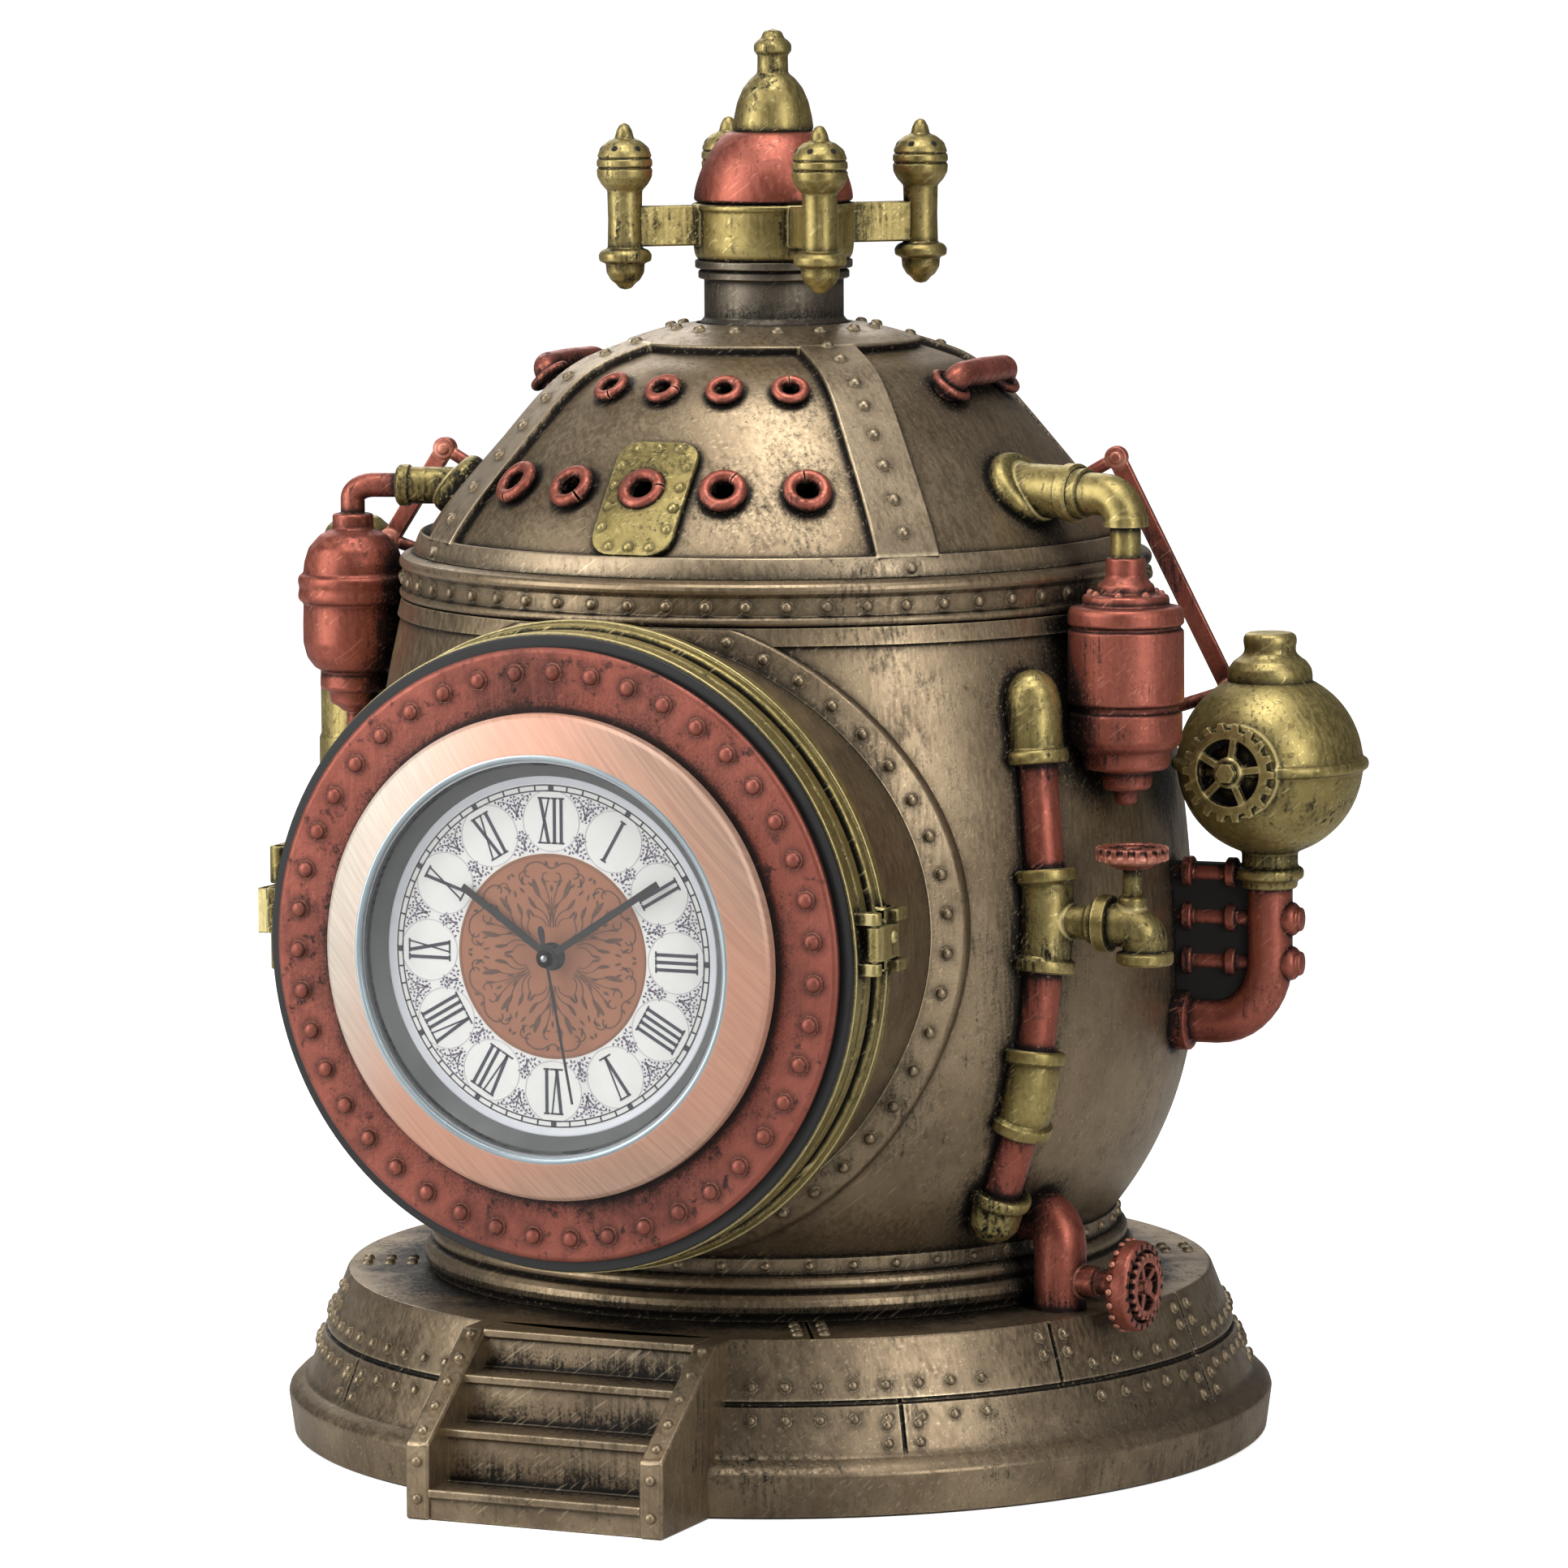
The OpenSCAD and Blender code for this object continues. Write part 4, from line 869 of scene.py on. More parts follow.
TREAD_FRONTS = (90.0, 84.0, 77.5, 70.8)
TREAD_TOPS = (4.72, 12.75, 19.76, BASE_H)
TREAD_D = 6.8
TREAD_BACK_SET = 0.6
NOSING = 0.5
NOSING_H = 1.3
STAIR_HALF = 20.9
STRINGER_T = 3.8
STAIR_FRONT = 90.0
STAIR_BACK = 64.0
CHEEK_LOW = np.array([88.8, 12.2])
CHEEK_HIGH = np.array([70.2, BASE_H])
STAIR_PLACE = (np.array([FORWARD, Z_AXIS, X_AXIS]), np.zeros(3))


def stairs():
    """Stepped treads with nosings, between two cheeks with rivets along their sloping edges."""
    outline = [[STAIR_BACK, 0.0], [TREAD_FRONTS[0] - TREAD_BACK_SET, 0.0]]
    for front, top in zip(TREAD_FRONTS, TREAD_TOPS):
        upright, nose = front - TREAD_BACK_SET, front - TREAD_BACK_SET + NOSING
        outline += [[upright, top - NOSING_H], [nose, top - NOSING_H], [nose, top], [front - TREAD_D, top]]
    outline[-1] = [STAIR_BACK, BASE_H]
    inner = STAIR_HALF - STRINGER_T
    treads = prism(outline, -inner - 0.2, inner + 0.2).at(STAIR_PLACE)
    piece("stair_steps", treads, "bronze_base", "case", ["stair_treads"], bevel=0.25)
    cheek = [[STAIR_BACK, 0.0], [STAIR_FRONT, 0.0], [STAIR_FRONT, 11.5], CHEEK_LOW, CHEEK_HIGH,
             [STAIR_BACK, BASE_H]]
    cheeks = (prism(cheek, -STAIR_HALF, -inner) + prism(cheek, inner, STAIR_HALF)).at(STAIR_PLACE)
    piece("stair_cheeks", cheeks, "bronze_base", "case", ["stair_stringers"], bevel=0.45)
    slope = CHEEK_HIGH - CHEEK_LOW
    edge = CHEEK_LOW + slope * np.linspace(0.06, 0.94, 5)[:, None]
    middle = STAIR_HALF - STRINGER_T / 2.0
    spots = [[side * middle, -front, height] for side in (-1, 1) for front, height in edge]
    faces = [[side * middle, -STAIR_FRONT, height] for side in (-1, 1) for height in (3.2, 8.8)]
    heads = rivets(spots, (0.0, -slope[1], -slope[0]), *STAIR_RIVET) + rivets(faces, FORWARD, *STAIR_RIVET)
    piece("stair_rivets", heads, "bronze_base", "case")


# Boiler body, drum and dome


def bead(reach, radius, height, first, last, count=6):
    """Profile points round a bead, between two angles in degrees from outward."""
    turn = np.radians(np.linspace(first, last, count))
    return np.stack([reach + radius * np.cos(turn), height + radius * np.sin(turn)], axis=-1).tolist()


FOOT_STRIP_R = 52.9
RIM_STRIP_R = 57.7


def foot():
    """Double bead and riveted strip at the body's foot."""
    line = ([[0.0, BASE_H], [53.6, BASE_H], [54.6, BASE_H + 0.1]] + bead(53.4, 2.2, 28.0, -50, 75)
            + bead(53.1, 1.4, 31.1, -40, 70)
            + [[FOOT_STRIP_R, 32.6], [FOOT_STRIP_R, 34.9], [52.3, 35.3], [0.0, 35.3]])
    bearings = np.arange(0.0, 360.0, 7.2)
    heads = rivets(out_at(bearings, FOOT_STRIP_R, 33.8), out_at(bearings, 1.0, 0.0), *FOOT_RIVET)
    piece("foot_beads", lathe(line, 0.12, 144) + heads, "bronze", "case", ["foot_moulding"])


STEP_Z = 127.9
STEP_UP = 0.6
FLOOR_Z = FOOT_Z + 0.5


def boiler():
    """The barrel's skin as a fan of bearings and heights, less what lies in the drum's bore, given a wall."""
    low = np.linspace(FOOT_Z, STEP_Z - 0.35, 62)
    reach = np.concatenate([body_reach(low), body_reach(np.array([STEP_Z, BODY_TOP])) + STEP_UP])
    height = np.concatenate([low, [STEP_Z, BODY_TOP]])
    line = np.vstack([[[0.0, FLOOR_Z], [25.0, FLOOR_Z]], np.stack([reach, height], axis=-1),
                      [[54.0, BODY_TOP], [28.0, BODY_TOP], [0.0, BODY_TOP]]])
    bearings = np.arange(-180.0, 180.0, 2.0)
    shape = grid(out_at(bearings[None], line[:, :1], line[:, 1:]), wrap_cols=True)
    middle = shape.points[shape.quads].mean(axis=1)
    lean = body_reach(middle[:, 2] + 0.5) - body_reach(middle[:, 2] - 0.5)
    out = WALL / np.hypot(1.0, lean)
    inner_x = middle[:, 0] * (1.0 - out / np.maximum(np.hypot(middle[:, 0], middle[:, 1]), WALL))
    inner_z = middle[:, 2] + out * lean - DOOR_Z
    in_front = middle[:, 1] < -30.0
    in_bore = (np.hypot(inner_x, inner_z) < (DRUM_R + BORE_R) / 2.0) & in_front
    shape.quads = shape.quads[~in_bore]
    piece("boiler_wall", shape, "bronze", "case", ["body_shell"], wall=WALL)


def rim():
    """Beaded band with its row of rivets under the dome."""
    line = ([[55.0, BODY_TOP]] + bead(57.6, 0.8, 131.4, -70, 75)
            + [[RIM_STRIP_R, 132.3], [RIM_STRIP_R, 134.9]] + bead(57.3, 1.1, 136.1, -55, 80)
            + [[56.6, DOME_Z], [55.0, DOME_Z]])
    bearings = np.arange(0.0, 360.0, 6.0) + 1.5
    heads = rivets(out_at(bearings, RIM_STRIP_R, 133.6), out_at(bearings, 1.0, 0.0), *STRIP_RIVET)
    piece("rim_beads", lathe(line, 0.1, 160, closed=True) + heads, "bronze", "case", ["rim_band"])


STRIP_T = 1.05
STRIP_RIVET_STEP = 7.12


def drum_pieces():
    """The drum's tube from the body's inside to its ring, and the riveted strip round it on the body."""
    turn = np.radians(np.arange(0.0, 360.0, 2.0))[None]

    def wall_depth(reach, lift):
        """Circles about the drum's axis, laid on the body's wall or a lift off it."""
        across, height = reach * np.sin(turn), DOOR_Z + reach * np.cos(turn)
        height = np.clip(height, FOOT_Z + 0.2, BODY_TOP - 0.15)
        return across, height, np.sqrt(np.maximum((body_reach(height) + lift) ** 2 - across**2, 1.0))

    section = [[BORE_R, 0.0], [DRUM_R, 0.0], [DRUM_R, 0.55], [DRUM_R, 1.0], [BORE_R, 1.0], [BORE_R, 0.5]]
    section = soften(section, 0.02, 2, closed=True)
    reach, share = section[:, :1], section[:, 1:]
    across, _, back = wall_depth(reach, -WALL - 0.6)
    depth = back + share * (DRUM_END - back)
    points = np.stack(np.broadcast_arrays(across, -depth, DOOR_Z + reach * np.cos(turn)), axis=-1)
    piece("drum_tube", grid(points, wrap_rows=True, wrap_cols=True), "bronze", "case", ["drum"])

    profile = np.array([[DRUM_R - 0.3, -1.0], [DRUM_R - 0.3, STRIP_T], [FLANGE_R - 0.45, 1.1],
                        [FLANGE_R - 0.12, 0.95], [FLANGE_R, 0.6], [FLANGE_R, -1.0]])
    across, height, depth = wall_depth(profile[:, :1], profile[:, 1:])
    strip = grid(np.stack([across, -depth, height], axis=-1), wrap_rows=True, wrap_cols=True)
    rows = [np.arange(first, last, STRIP_RIVET_STEP) for first, last in ((21.0, 154.0), (206.0, 340.0))]
    spots = np.radians(np.concatenate(rows))
    across, height = STRIP_RIVET_R * np.sin(spots), DOOR_Z + STRIP_RIVET_R * np.cos(spots)
    depth = np.sqrt((body_reach(height) + STRIP_T) ** 2 - across**2)
    centres = np.stack([across, -depth, height], axis=-1)
    heads = rivets(centres, centres * [1.0, 1.0, 0.0], *STRIP_RIVET)
    piece("drum_strip", strip + heads, "bronze", "case", ["drum_flange"])

    rear = [[BORE_R, 67.9], [47.6, 67.9], [48.5, 68.6], [48.5, 70.4], [48.1, 70.9], [48.1, 72.0],
            [47.6, 72.4], [BORE_R, 72.4]]
    piece("drum_ring", lathe(rear, 0.25, 160, closed=True).at(FACE), "brass", "case", ["rear_ring"])
    # A thin bright ring on the rear ring's front edge: rubbed wear and a painted highlight.
    worn = ring(48.6, 47.9, 70.1, 70.6, 0.2, 160).at(FACE)
    piece("drum_worn_highlight_edge", worn, "brass_worn_highlight", "case")


PORTS = ([(bearing, LOW_Z, LARGE_PORT) for bearing in LOW_BEARINGS]
         + [(bearing, HIGH_Z, SMALL_PORT) for bearing in HIGH_BEARINGS])
PORT_OPEN = 0.68
PORT_ZONE = (9.0, 31.0)


def dome_shell():
    """Dome panels as a fan that is fine at the ports, whose holes are left open and given a wall."""
    low, high = dome_run(PORT_ZONE)
    run = np.concatenate([np.linspace(0.0, low, 10), np.linspace(low, high, 46)[1:],
                          np.linspace(high, DOME_RUN[-1], 8)[1:]])
    reach, level, _, _ = dome_spot(run, -PANEL_D)
    bearings = np.concatenate([np.arange(-38.0, 38.0, 0.8), np.arange(38.0, 322.0, 3.0)])
    shape = grid(out_at(bearings[None], reach[:, None], level[:, None] + DOME_Z), wrap_cols=True)
    middle = shape.points[shape.quads].mean(axis=1)
    open_port = np.zeros(len(middle), bool)
    for bearing, height, radius in PORTS:
        centre = on_dome(bearing, height, 0.0, 0.0, 0.0)
        open_port |= np.linalg.norm(middle - centre, axis=1) < radius * PORT_OPEN
    shape.quads = shape.quads[~open_port]
    piece("dome_panels", shape, "bronze", "case", ["dome"], wall=1.6)


RIB_BEARINGS = (45.0, 135.0, 225.0, 315.0)
RIB_RIVETS = np.array([32.6, 30.9, 27.6, 24.4, 20.3, 15.9, 11.1, 6.4, 1.3])
RIB_TOP = 32.8
RIB_ROOT = 0.6
CROWN_RIVET_R = 16.0


def dome_ribs():
    """Four ribs up the meridians, drawn in a little toward the top, the foot band, the crown and rivets."""
    half = RIB_W / 2
    section = soften([[-half, -RIB_ROOT], [-half, PANEL_D], [half, PANEL_D], [half, -RIB_ROOT]],
                     0.35, 3, closed=True)
    run = np.linspace(dome_run(BAND_H - 0.3), dome_run(RIB_TOP), 40)
    drawn_in = np.interp(run, run[[0, -1]], [1.0, 0.9])
    reach, level, _, _ = dome_spot(run[None], section[:, 1:] - PANEL_D)
    upright = (level + DOME_Z)[..., None] * np.array(Z_AXIS)
    shapes = []
    for bearing in RIB_BEARINGS:
        out, side = out_at(bearing, 1.0, 0.0), out_at(bearing + 90.0, 1.0, 0.0)
        points = reach[..., None] * out + (section[:, :1] * drawn_in)[..., None] * side + upright
        shapes.append(grid(points, wrap_rows=True))
        spots = on_dome(bearing, RIB_RIVETS, 0.0, 0.0, PANEL_D)
        shapes.append(rivets(spots, dome_normal(bearing, RIB_RIVETS), *DOME_RIVET))
    foot_run = np.linspace(0.0, dome_run(BAND_H), 6)
    top_run = np.linspace(run_at_reach(CROWN_R), DOME_RUN[-1], 12)
    for strip in (foot_run, top_run):
        r_out, z_out, _, _ = dome_spot(strip)
        r_in, z_in, _, _ = dome_spot(strip[::-1], -PANEL_D - RIB_ROOT)
        height = np.maximum(np.concatenate([z_out, z_in]), 0.0) + DOME_Z
        line = np.stack([np.concatenate([r_out, r_in]), height], axis=-1)
        shapes.append(lathe(line, 0.3, 144, closed=True))
    where = run_at_reach(CROWN_RIVET_R)
    bearings = np.arange(2.0, 362.0, 24.0)
    spots = on_dome(bearings, 0.0, 0.0, where, PANEL_D)
    shapes.append(rivets(spots, dome_normal(bearings, 0.0, where), *DOME_RIVET))
    piece("dome_ribs", joined(shapes), "bronze_rib", "case", ["dome_frame"])


SPLIT = math.radians(3.5)
RING_STEPS = 40
PORT_WIRE = 0.27
PORT_FLAT = 0.9
PORT_LIFT = 0.25


def port_ring(bearing, height, radius):
    """A split wire ring that lies on the dome: a round section carried round a circle, with a small gap."""
    wire = radius * PORT_WIRE
    turn = np.linspace(SPLIT, FULL - SPLIT, RING_STEPS) + math.radians(bearing * 3.0 + 10.0)
    spin = np.linspace(0.0, FULL, 14, endpoint=False)

    def with_ends(values):
        """The section at every step, with its middle before and after to close the ends."""
        middle = np.full((1, len(values)), values.mean())
        return np.vstack([middle, np.repeat(values[None], RING_STEPS, axis=0), middle])

    reach = with_ends((radius - wire) + wire * np.cos(spin))
    rise = with_ends(PORT_LIFT + wire * PORT_FLAT * (1.0 + np.sin(spin)))
    turn = np.concatenate([turn[:1], turn, turn[-1:]])[:, None]
    return grid(on_dome(bearing, height, reach * np.cos(turn), reach * np.sin(turn), rise), wrap_cols=True)


def port_cup(bearing, height, radius):
    """The hole under a ring: a cup that sinks below the panel, painted near black as the shade inside it."""
    line = np.array([[0.0, -3.2], [0.5, -3.2], [0.78, -3.0], [0.8, -0.2], [0.9, 0.12]]) * [radius, 1.0]
    turn = np.linspace(0.0, FULL, 20, endpoint=False)[None]
    points = on_dome(bearing, height, line[:, :1] * np.cos(turn), line[:, :1] * np.sin(turn), line[:, 1:])
    return grid(points, wrap_cols=True)


def ports():
    """Five large rings low on the dome, four small ones above, each round a hole painted near black as shade.
    """
    piece("port_wires", joined(port_ring(*port) for port in PORTS), "copper", "case", ["port_rings"])
    piece("port_holes", joined(port_cup(*port) for port in PORTS), "shade_black", "case")


HATCH_HOLE = 3.1
HATCH_PORT_REACH = 47.0
HATCH_RIVET_REACH = 46.0
HATCH_RIVET_IN = 1.35


def hatch():
    """Rounded brass plate on the dome: loops from its hole out to its outline, with a row of rivets."""
    corner = np.linspace(0.0, 90.0, 7)
    turns = np.radians(np.concatenate([corner + quarter for quarter in (0.0, 90.0, 180.0, 270.0)]))
    quarter = np.repeat(np.arange(4), len(corner))
    sign_w = np.array([1.0, -1.0, -1.0, 1.0])[quarter]
    sign_h = np.array([1.0, 1.0, -1.0, -1.0])[quarter]
    outline = np.stack([sign_w * (HATCH_W / 2 - HATCH_CORNER) + HATCH_CORNER * np.cos(turns),
                        sign_h * (HATCH_H / 2 - HATCH_CORNER) + HATCH_CORNER * np.sin(turns)], axis=-1)
    middle = np.array([math.radians(LOW_BEARINGS[2]) * HATCH_PORT_REACH, dome_run(LOW_Z) - dome_run(HATCH_Z)])
    hole = middle + HATCH_HOLE * unit(outline - middle)
    loops = np.array([(0.0, -0.5), (0.0, 0.9), (0.04, PANEL_D), (0.35, PANEL_D), (0.7, PANEL_D),
                      (0.95, PANEL_D), (0.985, 1.05), (1.0, 0.75), (1.0, -0.5)])
    flat = hole + (outline - hole) * loops[:, 0][:, None, None]
    rise = np.broadcast_to(loops[:, 1][:, None], flat.shape[:2])
    points = on_dome(0.0, HATCH_Z, flat[..., 0], flat[..., 1], rise)
    sides = [(side, height) for side in (-1.0, 1.0) for height in (0.62, 0.2, -0.22, -0.64)]
    ends = [(side, height) for side in (-0.62, 0.0, 0.62) for height in (-1.0, 1.0)]
    spots = np.array(sides + ends) * [HATCH_W / 2 - HATCH_RIVET_IN, HATCH_H / 2 - HATCH_RIVET_IN]
    centres = on_dome(0.0, HATCH_Z, spots[:, 0], spots[:, 1], PANEL_D)
    normals = dome_normal(np.degrees(spots[:, 0] / HATCH_RIVET_REACH), HATCH_Z, spots[:, 1])
    heads = rivets(centres, normals, *HATCH_RIVET)
    piece("hatch", grid(points, wrap_rows=True, wrap_cols=True) + heads, "brass", "case", ["hatch_plate"])


BAIL_HALF = 10.0
BAIL_RISE = 2.4
BAIL_ROOT = -1.5
EYE_R = 2.75
EYE_WIRE = 0.7
EYE_UP = 0.35


def handles():
    """A copper bail at each side of the dome: a bar bent down at both ends into a ring on the dome."""
    turn = np.linspace(0.0, FULL, 32, endpoint=False)[:, None]
    spin = np.linspace(0.0, FULL, 12, endpoint=False)[None]
    reach, rise = EYE_R + EYE_WIRE * np.cos(spin), EYE_UP + EYE_WIRE * np.sin(spin)
    foot_ring = np.stack(np.broadcast_arrays(reach * np.cos(turn), reach * np.sin(turn), rise), axis=-1)
    foot_ring = grid(foot_ring, wrap_rows=True, wrap_cols=True)
    bail = pipe([(-BAIL_HALF, 0.0, BAIL_ROOT), (-BAIL_HALF, 0.0, BAIL_RISE), (BAIL_HALF, 0.0, BAIL_RISE),
                 (BAIL_HALF, 0.0, BAIL_ROOT)], 2.4,
                [(0.0, 2.0), (7.0, 2.0), (13.0, 2.15), (19.0, 2.0), (26.0, 2.0)])
    handle = bail + foot_ring.at(moved(-BAIL_HALF, 0.0, 0.0)) + foot_ring.at(moved(BAIL_HALF, 0.0, 0.0))
    spots = [place(on_dome(bearing, HANDLE_Z, 0.0, 0.0, 0.0), dome_normal(bearing, HANDLE_Z),
                   out_at(bearing + 90.0, 1.0, 0.0)) for bearing in (-90.0, 90.0)]
    piece("handles", joined(handle.at(spot) for spot in spots), "copper", "case", ["dome_handles"])


# Finial

POST_FOOT = HUB_Z - 4.2


def finial():
    """Neck, hub with arms, four posts and two bells, as turned profiles."""
    neck = [[0.0, NECK_Z - 1.0], [11.8, NECK_Z - 1.0], [11.5, NECK_Z], [10.8, NECK_Z + 0.8],
            [10.8, COLLAR_Z], [11.7, COLLAR_Z + 0.2], [11.7, COLLAR_Z + 1.3], [11.2, COLLAR_Z + 1.55],
            [12.2, COLLAR_Z + 1.8], [12.2, HUB_Z], [0.0, HUB_Z]]
    piece("neck", lathe(neck, 0.2, 72), "bronze_dark", "case", ["neck_collar"])
    hub = [[0.0, HUB_Z], [11.7, HUB_Z], [12.2, HUB_Z + 0.8], [12.4, HUB_Z + 2.0], [12.4, BELL_Z - 1.2],
           [12.7, BELL_Z - 0.9], [12.7, BELL_Z - 0.2], [12.2, BELL_Z], [0.0, BELL_Z]]
    arm = block((5.0, -1.5, HUB_Z + 2.4), (POST_AT - 1.0, 1.5, BELL_Z - 0.2))
    arms = joined(arm.at(bearing_place(bearing)) for bearing in POST_BEARINGS)
    piece("hub_belt", lathe(hub, 0.3, 72) + arms, "brass", "case", ["hub"], bevel=0.3)
    post = lathe([[0.0, 0.0], [0.9, 0.2], [1.7, 1.1], [2.2, 1.4], [2.9, 2.6], [3.0, 4.0], [4.0, 4.4],
                  [4.1, 5.4], [3.6, 6.1], [2.7, 6.4], [2.6, 10.8], [2.7, 15.2], [3.6, 16.2], [4.2, 17.3],
                  [4.3, 18.5], [3.95, 18.75], [4.3, 19.0], [4.25, 20.0], [3.9, 20.2], [4.2, 20.45],
                  [3.9, 21.3], [3.3, 22.2], [2.4, 22.9], [1.5, 23.2], [1.2, 24.4], [0.7, 25.3],
                  [0.0, 25.6]], 0.25, 32)
    around = np.arange(0.0, 360.0, 60.0)
    # Dark dots round each post's top stand for holes: painted shade.
    dots = rivets(out_at(around, 3.55, 21.75), out_at(around, 0.8, 0.6), 0.5, 0.12, 8)
    spots = [moved(*out_at(bearing, POST_AT, POST_FOOT)) for bearing in POST_BEARINGS]
    piece("finial_posts", joined(post.at(spot) for spot in spots), "brass", "case", ["posts"])
    piece("finial_post_holes", joined(dots.at(spot) for spot in spots), "shade_black", "case")
    copper = [[0.0, BELL_Z], [12.3, BELL_Z], [12.3, BELL_Z + 1.4], [11.8, BELL_Z + 3.4], [10.9, BELL_Z + 5.8],
              [9.6, BELL_Z + 8.2], [8.2, BELL_Z + 10.0], [6.9, TIP_Z], [0.0, TIP_Z]]
    piece("copper_cap", lathe(copper, 1.4, 72, steps=4), "copper", "case", ["copper_bell"])
    brass = [[0.0, TIP_Z], [6.25, TIP_Z], [6.2, TIP_Z + 0.9], [6.0, TIP_Z + 2.2], [5.5, TIP_Z + 4.4],
             [4.6, TIP_Z + 6.5], [3.4, TIP_Z + 8.0], [2.4, TIP_Z + 8.8], [2.35, TIP_Z + 11.6],
             [2.9, TIP_Z + 12.1], [2.9, TIP_Z + 13.2], [2.4, TIP_Z + 13.8], [1.8, TIP_Z + 14.2],
             [1.4, TIP_Z + 15.2], [0.0, TIP_Z + 15.6]]
    piece("brass_cap", lathe(brass, 0.3, 48), "brass", "case", ["brass_bell"])


# Side fittings

OUTLET_START = 40.0
RIGHT_ELBOW = CAN_AT - 8.6
TAIL_Z = LEFT_TOP - 38.0
TANK_LOW = DOOR_Z + 4.0
TANK_STRAPS = (DOOR_Z + 12.0, DOOR_Z + 36.0)
STRAP_H = 5.0
STRAP_HALF = 2.4
IN_WALL = 3.5


def outlet(bearing, radius, reach, level):
    """A pipe with a lip that comes level out of the dome, and its collar on the dome."""
    tube = pipe([(OUTLET_START, 0.0, level), (reach, 0.0, level)], 0.1,
                [(0.0, radius), (-2.2, radius), (-1.9, radius + 0.35), (-0.4, radius + 0.35),
                 (-0.01, radius - 0.1)])
    collar = [[0.0, -1.0], [radius + 2.3, -1.0], [radius + 2.3, 1.4], [radius + 1.4, 2.4],
              [radius + 0.2, 2.6], [0.0, 2.6]]
    run = dome_run(OUTLET_Z + level - PIPE_Z)
    foot_spot = place(on_dome(bearing, 0.0, 0.0, run, 0.0), dome_normal(bearing, 0.0, run))
    return tube.at(bearing_place(bearing)) + lathe(collar, 0.5, 48).at(foot_spot)


def canisters():
    """Outlet pipes from the dome, their elbows, and the vessels below them."""
    right, left = bearing_place(CAN_B), bearing_place(-CAN_B)
    outlets = outlet(CAN_B, 4.1, RIGHT_ELBOW, PIPE_Z) + outlet(-CAN_B, 2.9, LEFT_AT - 7.2, LEFT_Z)
    piece("outlet_pipes", outlets, "brass", "case", ["outlets"])
    elbow = pipe([(RIGHT_ELBOW, 0.0, PIPE_Z), (CAN_AT, 0.0, PIPE_Z), (CAN_AT, 0.0, CAN_TOP)], 5.6,
                 [(0.0, 3.75), (1.3, 3.75), (1.6, 3.2), (10.0, 3.2), (10.4, 3.45), (11.4, 3.45), (11.6, 2.3),
                  (40.0, 2.3)]).at(right)
    piece("right_elbow", elbow, "brass", "case", ["elbow_right"])
    elbow = pipe([(LEFT_AT - 7.4, 0.0, LEFT_Z), (LEFT_AT, 0.0, LEFT_Z), (LEFT_AT, 0.0, LEFT_TOP)], 4.4,
                 [(0.0, 1.9), (40.0, 1.9)]).at(left)
    piece("left_elbow", elbow, "copper", "case", ["elbow_left"])
    vessel = [[0.0, 0.0], [2.4, 0.2], [3.0, 0.0], [3.0, -2.6], [3.5, -3.4], [4.3, -4.0], [4.4, -5.2],
              [6.4, -5.5], [6.6, -6.2], [6.6, -7.0], [8.4, -7.3], [8.75, -8.0], [8.8, -9.8], [8.3, -10.1],
              [8.3, -10.5], [8.75, -10.8], [8.8, -21.6], [8.0, -22.0], [7.9, -22.8], [8.5, -23.2],
              [8.5, -27.2], [8.0, -28.2], [6.9, -29.0], [6.7, -29.6], [6.6, -31.2], [6.2, -31.7],
              [4.0, -32.0], [3.9, -34.2], [3.4, -34.8], [1.9, -35.0], [1.7, -36.6], [1.1, -37.2],
              [0.0, -37.2]]
    around = np.arange(0.0, 360.0, 45.0) + 10.0
    studs = rivets(out_at(around, 5.4, -5.3), Z_AXIS, 0.6, 0.6)
    spot = moved(*out_at(CAN_B, CAN_AT, CAN_TOP))
    piece("right_canister", (lathe(vessel, 0.3, 64) + studs).at(spot), "copper", "case", ["canister_right"])
    vessel = [[0.0, 0.0], [2.6, 0.2], [3.2, 0.0], [3.2, -2.2], [5.2, -3.2], [7.0, -5.2], [7.7, -7.4],
              [7.9, -9.2], [8.65, -9.6], [8.75, -10.6], [8.5, -11.5], [8.75, -12.4], [8.65, -13.4],
              [7.9, -13.8], [8.0, -17.0], [8.0, -20.0], [7.4, -22.4], [6.2, -24.0], [5.0, -24.6],
              [5.4, -25.4], [5.4, -27.2], [4.0, -27.9], [3.8, -29.6], [2.6, -30.2], [1.8, -31.0],
              [0.0, -31.0]]
    tail = pipe([(LEFT_AT, 0.0, LEFT_TOP - 30.4), (LEFT_AT, 0.0, TAIL_Z), (LEFT_AT - 7.0, 0.0, TAIL_Z)], 4.0,
                [(0.0, 1.3), (40.0, 1.3)]).at(left)
    spot = moved(*out_at(-CAN_B, LEFT_AT, LEFT_TOP))
    piece("left_canister", lathe(vessel, 0.4, 64).at(spot) + tail, "copper", "case", ["canister_left"])
    tank = [[0.0, 0.0], [4.0, 0.0], [5.6, 1.0], [6.3, 3.0], [6.3, 11.0], [6.6, 11.4], [6.6, 17.6],
            [6.3, 18.0], [6.3, 35.0], [6.6, 35.4], [6.6, 41.6], [6.3, 42.0], [6.3, 46.0], [6.0, 48.6],
            [5.0, 51.0], [3.2, 52.6], [0.0, 53.2]]
    straps = joined(block((body_reach(low) - IN_WALL, -STRAP_HALF, low),
                          (TANK_AT - 4.0, STRAP_HALF, low + STRAP_H)) for low in TANK_STRAPS)
    upright = lathe(tank, 0.5, 48).at(moved(*out_at(-TANK_B, TANK_AT, TANK_LOW)))
    piece("side_tank", upright + straps.at(bearing_place(-TANK_B)), "brass", "case", ["left_tank"])


STAY_TOP_Z = DOME_Z + 14.5
STAY_HALF = (1.35, 0.8)


